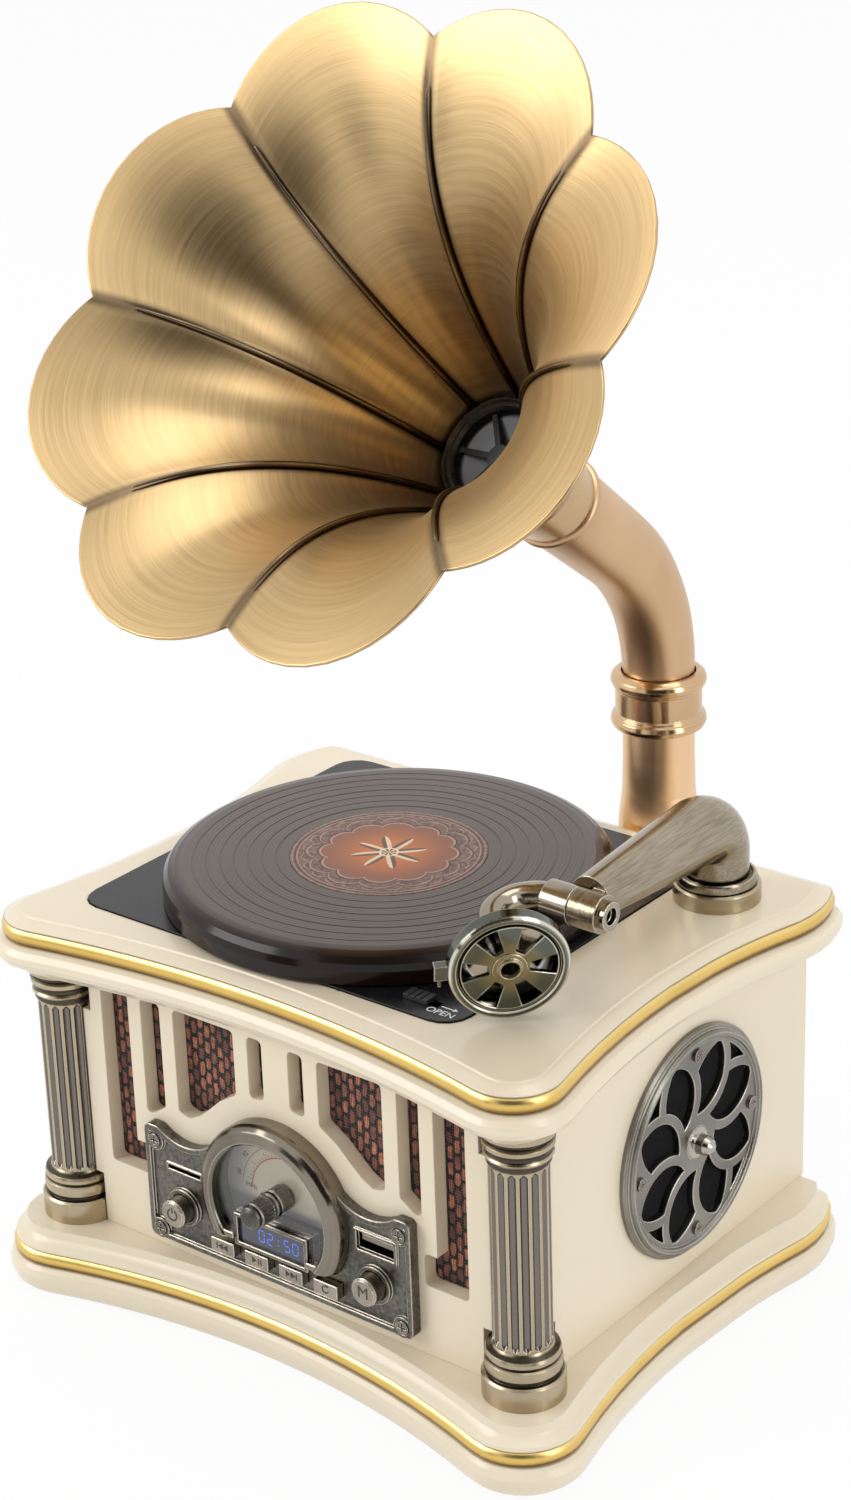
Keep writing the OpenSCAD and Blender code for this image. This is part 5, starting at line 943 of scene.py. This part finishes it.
horn_rows, petal_steps, crowding = 48, 20, 0.11
fold_half, fold_depth, fold_start = 0.0022, 0.0007, 0.006
bm = bmesh.new()
rim = [bm.verts.new((1 + row, 0, 0)) for row in range(horn_rows + 1)]
for near, far in zip(rim, rim[1:]):
    bm.edges.new((near, far))
spun(bm, 8 * petal_steps)
grain_map = bm.loops.layers.uv.new("grain")
seam_gap = bm.verts.layers.float.new("seam_gap")
row_of, turn_of = {}, {}
for vert in bm.verts:
    row_of[vert] = round(hypot(vert.co.x, vert.co.y) - 1)
    turn_of[vert] = round(atan2(vert.co.y, vert.co.x) / (2 * pi) * 8 * petal_steps) % (8 * petal_steps)
for face in bm.faces:
    turns = [turn_of[loop.vert] for loop in face.loops]
    for loop, number in zip(face.loops, turns):
        if max(turns) - min(turns) > 1 and number == 0:
            number = 8 * petal_steps
        loop[grain_map].uv = (number / petal_steps, row_of[loop.vert] / horn_rows)
for vert in bm.verts:
    behind = horn_depth * (row_of[vert] / horn_rows) ** 1.7
    share = turn_of[vert] % petal_steps / petal_steps
    share -= crowding * sin(2 * pi * share)
    turned = first_seam + (turn_of[vert] // petal_steps + share) * pi / 4
    vert.co = on_horn(behind, share, turned)
    gap_here = min(share, 1 - share) * pi / 4 * hypot(vert.co.x, vert.co.y)
    vert[seam_gap] = gap_here
    fold = max(0.0, 1 - gap_here / fold_half) ** 2 * min(1.0, behind / fold_start)
    vert.co = on_horn(behind, share, turned, -fold_depth * fold)
bmesh.ops.recalc_face_normals(bm, faces=bm.faces)
to_axis = 0.0
for face in bm.faces:
    middle = face.calc_center_median()
    to_axis += face.normal.dot(Vector((-middle.x, -middle.y, 0.02)))
if to_axis < 0:
    bmesh.ops.reverse_faces(bm, faces=bm.faces)
for face in bm.faces:
    face.smooth = True
mesh = as_mesh("horn_petals", bm)
mesh.transform(horn_place)

horn_brass, tree, shader = finish("brushed horn brass", Metallic=1.0, Anisotropic=0.75,
                                  Anisotropic_Rotation=0.25)
grain = add(tree, "UVMap", uv_map="grain").outputs[0]
brushed = []
for stretch, detail in (((3.0, 420.0, 1.0), 5.0), ((1.3, 70.0, 1.0), 3.0)):
    drawn_out = add(tree, "VectorMath", {0: grain, 1: stretch}, operation="MULTIPLY").outputs[0]
    brushed.append(add(tree, "TexNoise", {"Vector": drawn_out, "Scale": 1, "Detail": detail}).outputs["Fac"])
lines = times_plus(brushed[0], 0.6, times(brushed[1], 0.4))
cloud = noise(tree, 11)
gap_here = add(tree, "Attribute", attribute_name="seam_gap", attribute_type="GEOMETRY").outputs["Fac"]
tone = mixed(stepped(lines, 0.35, 0.65), (0.475, 0.325, 0.155), (0.60, 0.425, 0.215))
tone = mixed(times(cloud, 0.3), tone, (0.52, 0.38, 0.20))
# Patina and painted shade darken the petals along each seam.
near_seam = fading(gap_here, 0.0006, 0.0030)
tone = mixed(times(near_seam, 0.75), tone, (0.10, 0.07, 0.045))
put(shader["Base Color"], tone)
put(shader["Roughness"], times_plus(lines, 0.16, 0.24))
relief(shader, lines, 0.00003, None, 0.5)
put(shader["Tangent"], add(tree, "Tangent", direction_type="UV_MAP", uv_map="grain").outputs[0])
horn = piece("horn_petals", mesh, horn_brass, "case")
sheet_metal = horn.modifiers.new("sheet", "SOLIDIFY")
sheet_metal.thickness = 0.0009
sheet_metal.offset = -1
rounded_rim = horn.modifiers.new("rim", "BEVEL")
rounded_rim.width = 0.0003
rounded_rim.segments = 2
rounded_rim.limit_method = "ANGLE"
rounded_rim.angle_limit = radians(60)
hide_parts("horn_bell")

seam_start, seam_short_of_throat, seam_thin, seam_growth, seam_lift = 0.0045, 0.002, 0.00012, 0.00068, 0.0002
seam_parts = []
for count in range(8):
    seam_points, seam_radii = [], []
    for step in range(33):
        part = step / 32
        behind = seam_start + (horn_depth - seam_short_of_throat - seam_start) * part ** 1.5
        seam_points.append(horn_place @ on_horn(behind, 0.0, first_seam + count * pi / 4, seam_lift))
        seam_radii.append(seam_thin + seam_growth * min(1.0, part / 0.35) ** 0.7)
    seam = tube_along(seam_points, seam_radii, 8)
    bmesh.ops.holes_fill(seam, edges=seam.edges, sides=16)
    bmesh.ops.recalc_face_normals(seam, faces=seam.faces)
    seam_parts.append((seam, Matrix.Identity(4)))
seam_metal = metal("dark seam bead", (0.26, 0.20, 0.13), (0.10, 0.075, 0.05), (0.80, 0.66, 0.42),
                   rough=(0.18, 0.3))
joined("horn_seams", seam_parts, seam_metal, "case", True)
socket_brass = metal("horn socket brass", (0.62, 0.44, 0.24), (0.46, 0.32, 0.17), (0.88, 0.72, 0.48),
                     rough=(0.18, 0.3), scale=50, patina_and_shade=0.9)
dress(socket_brass, "horn_socket")
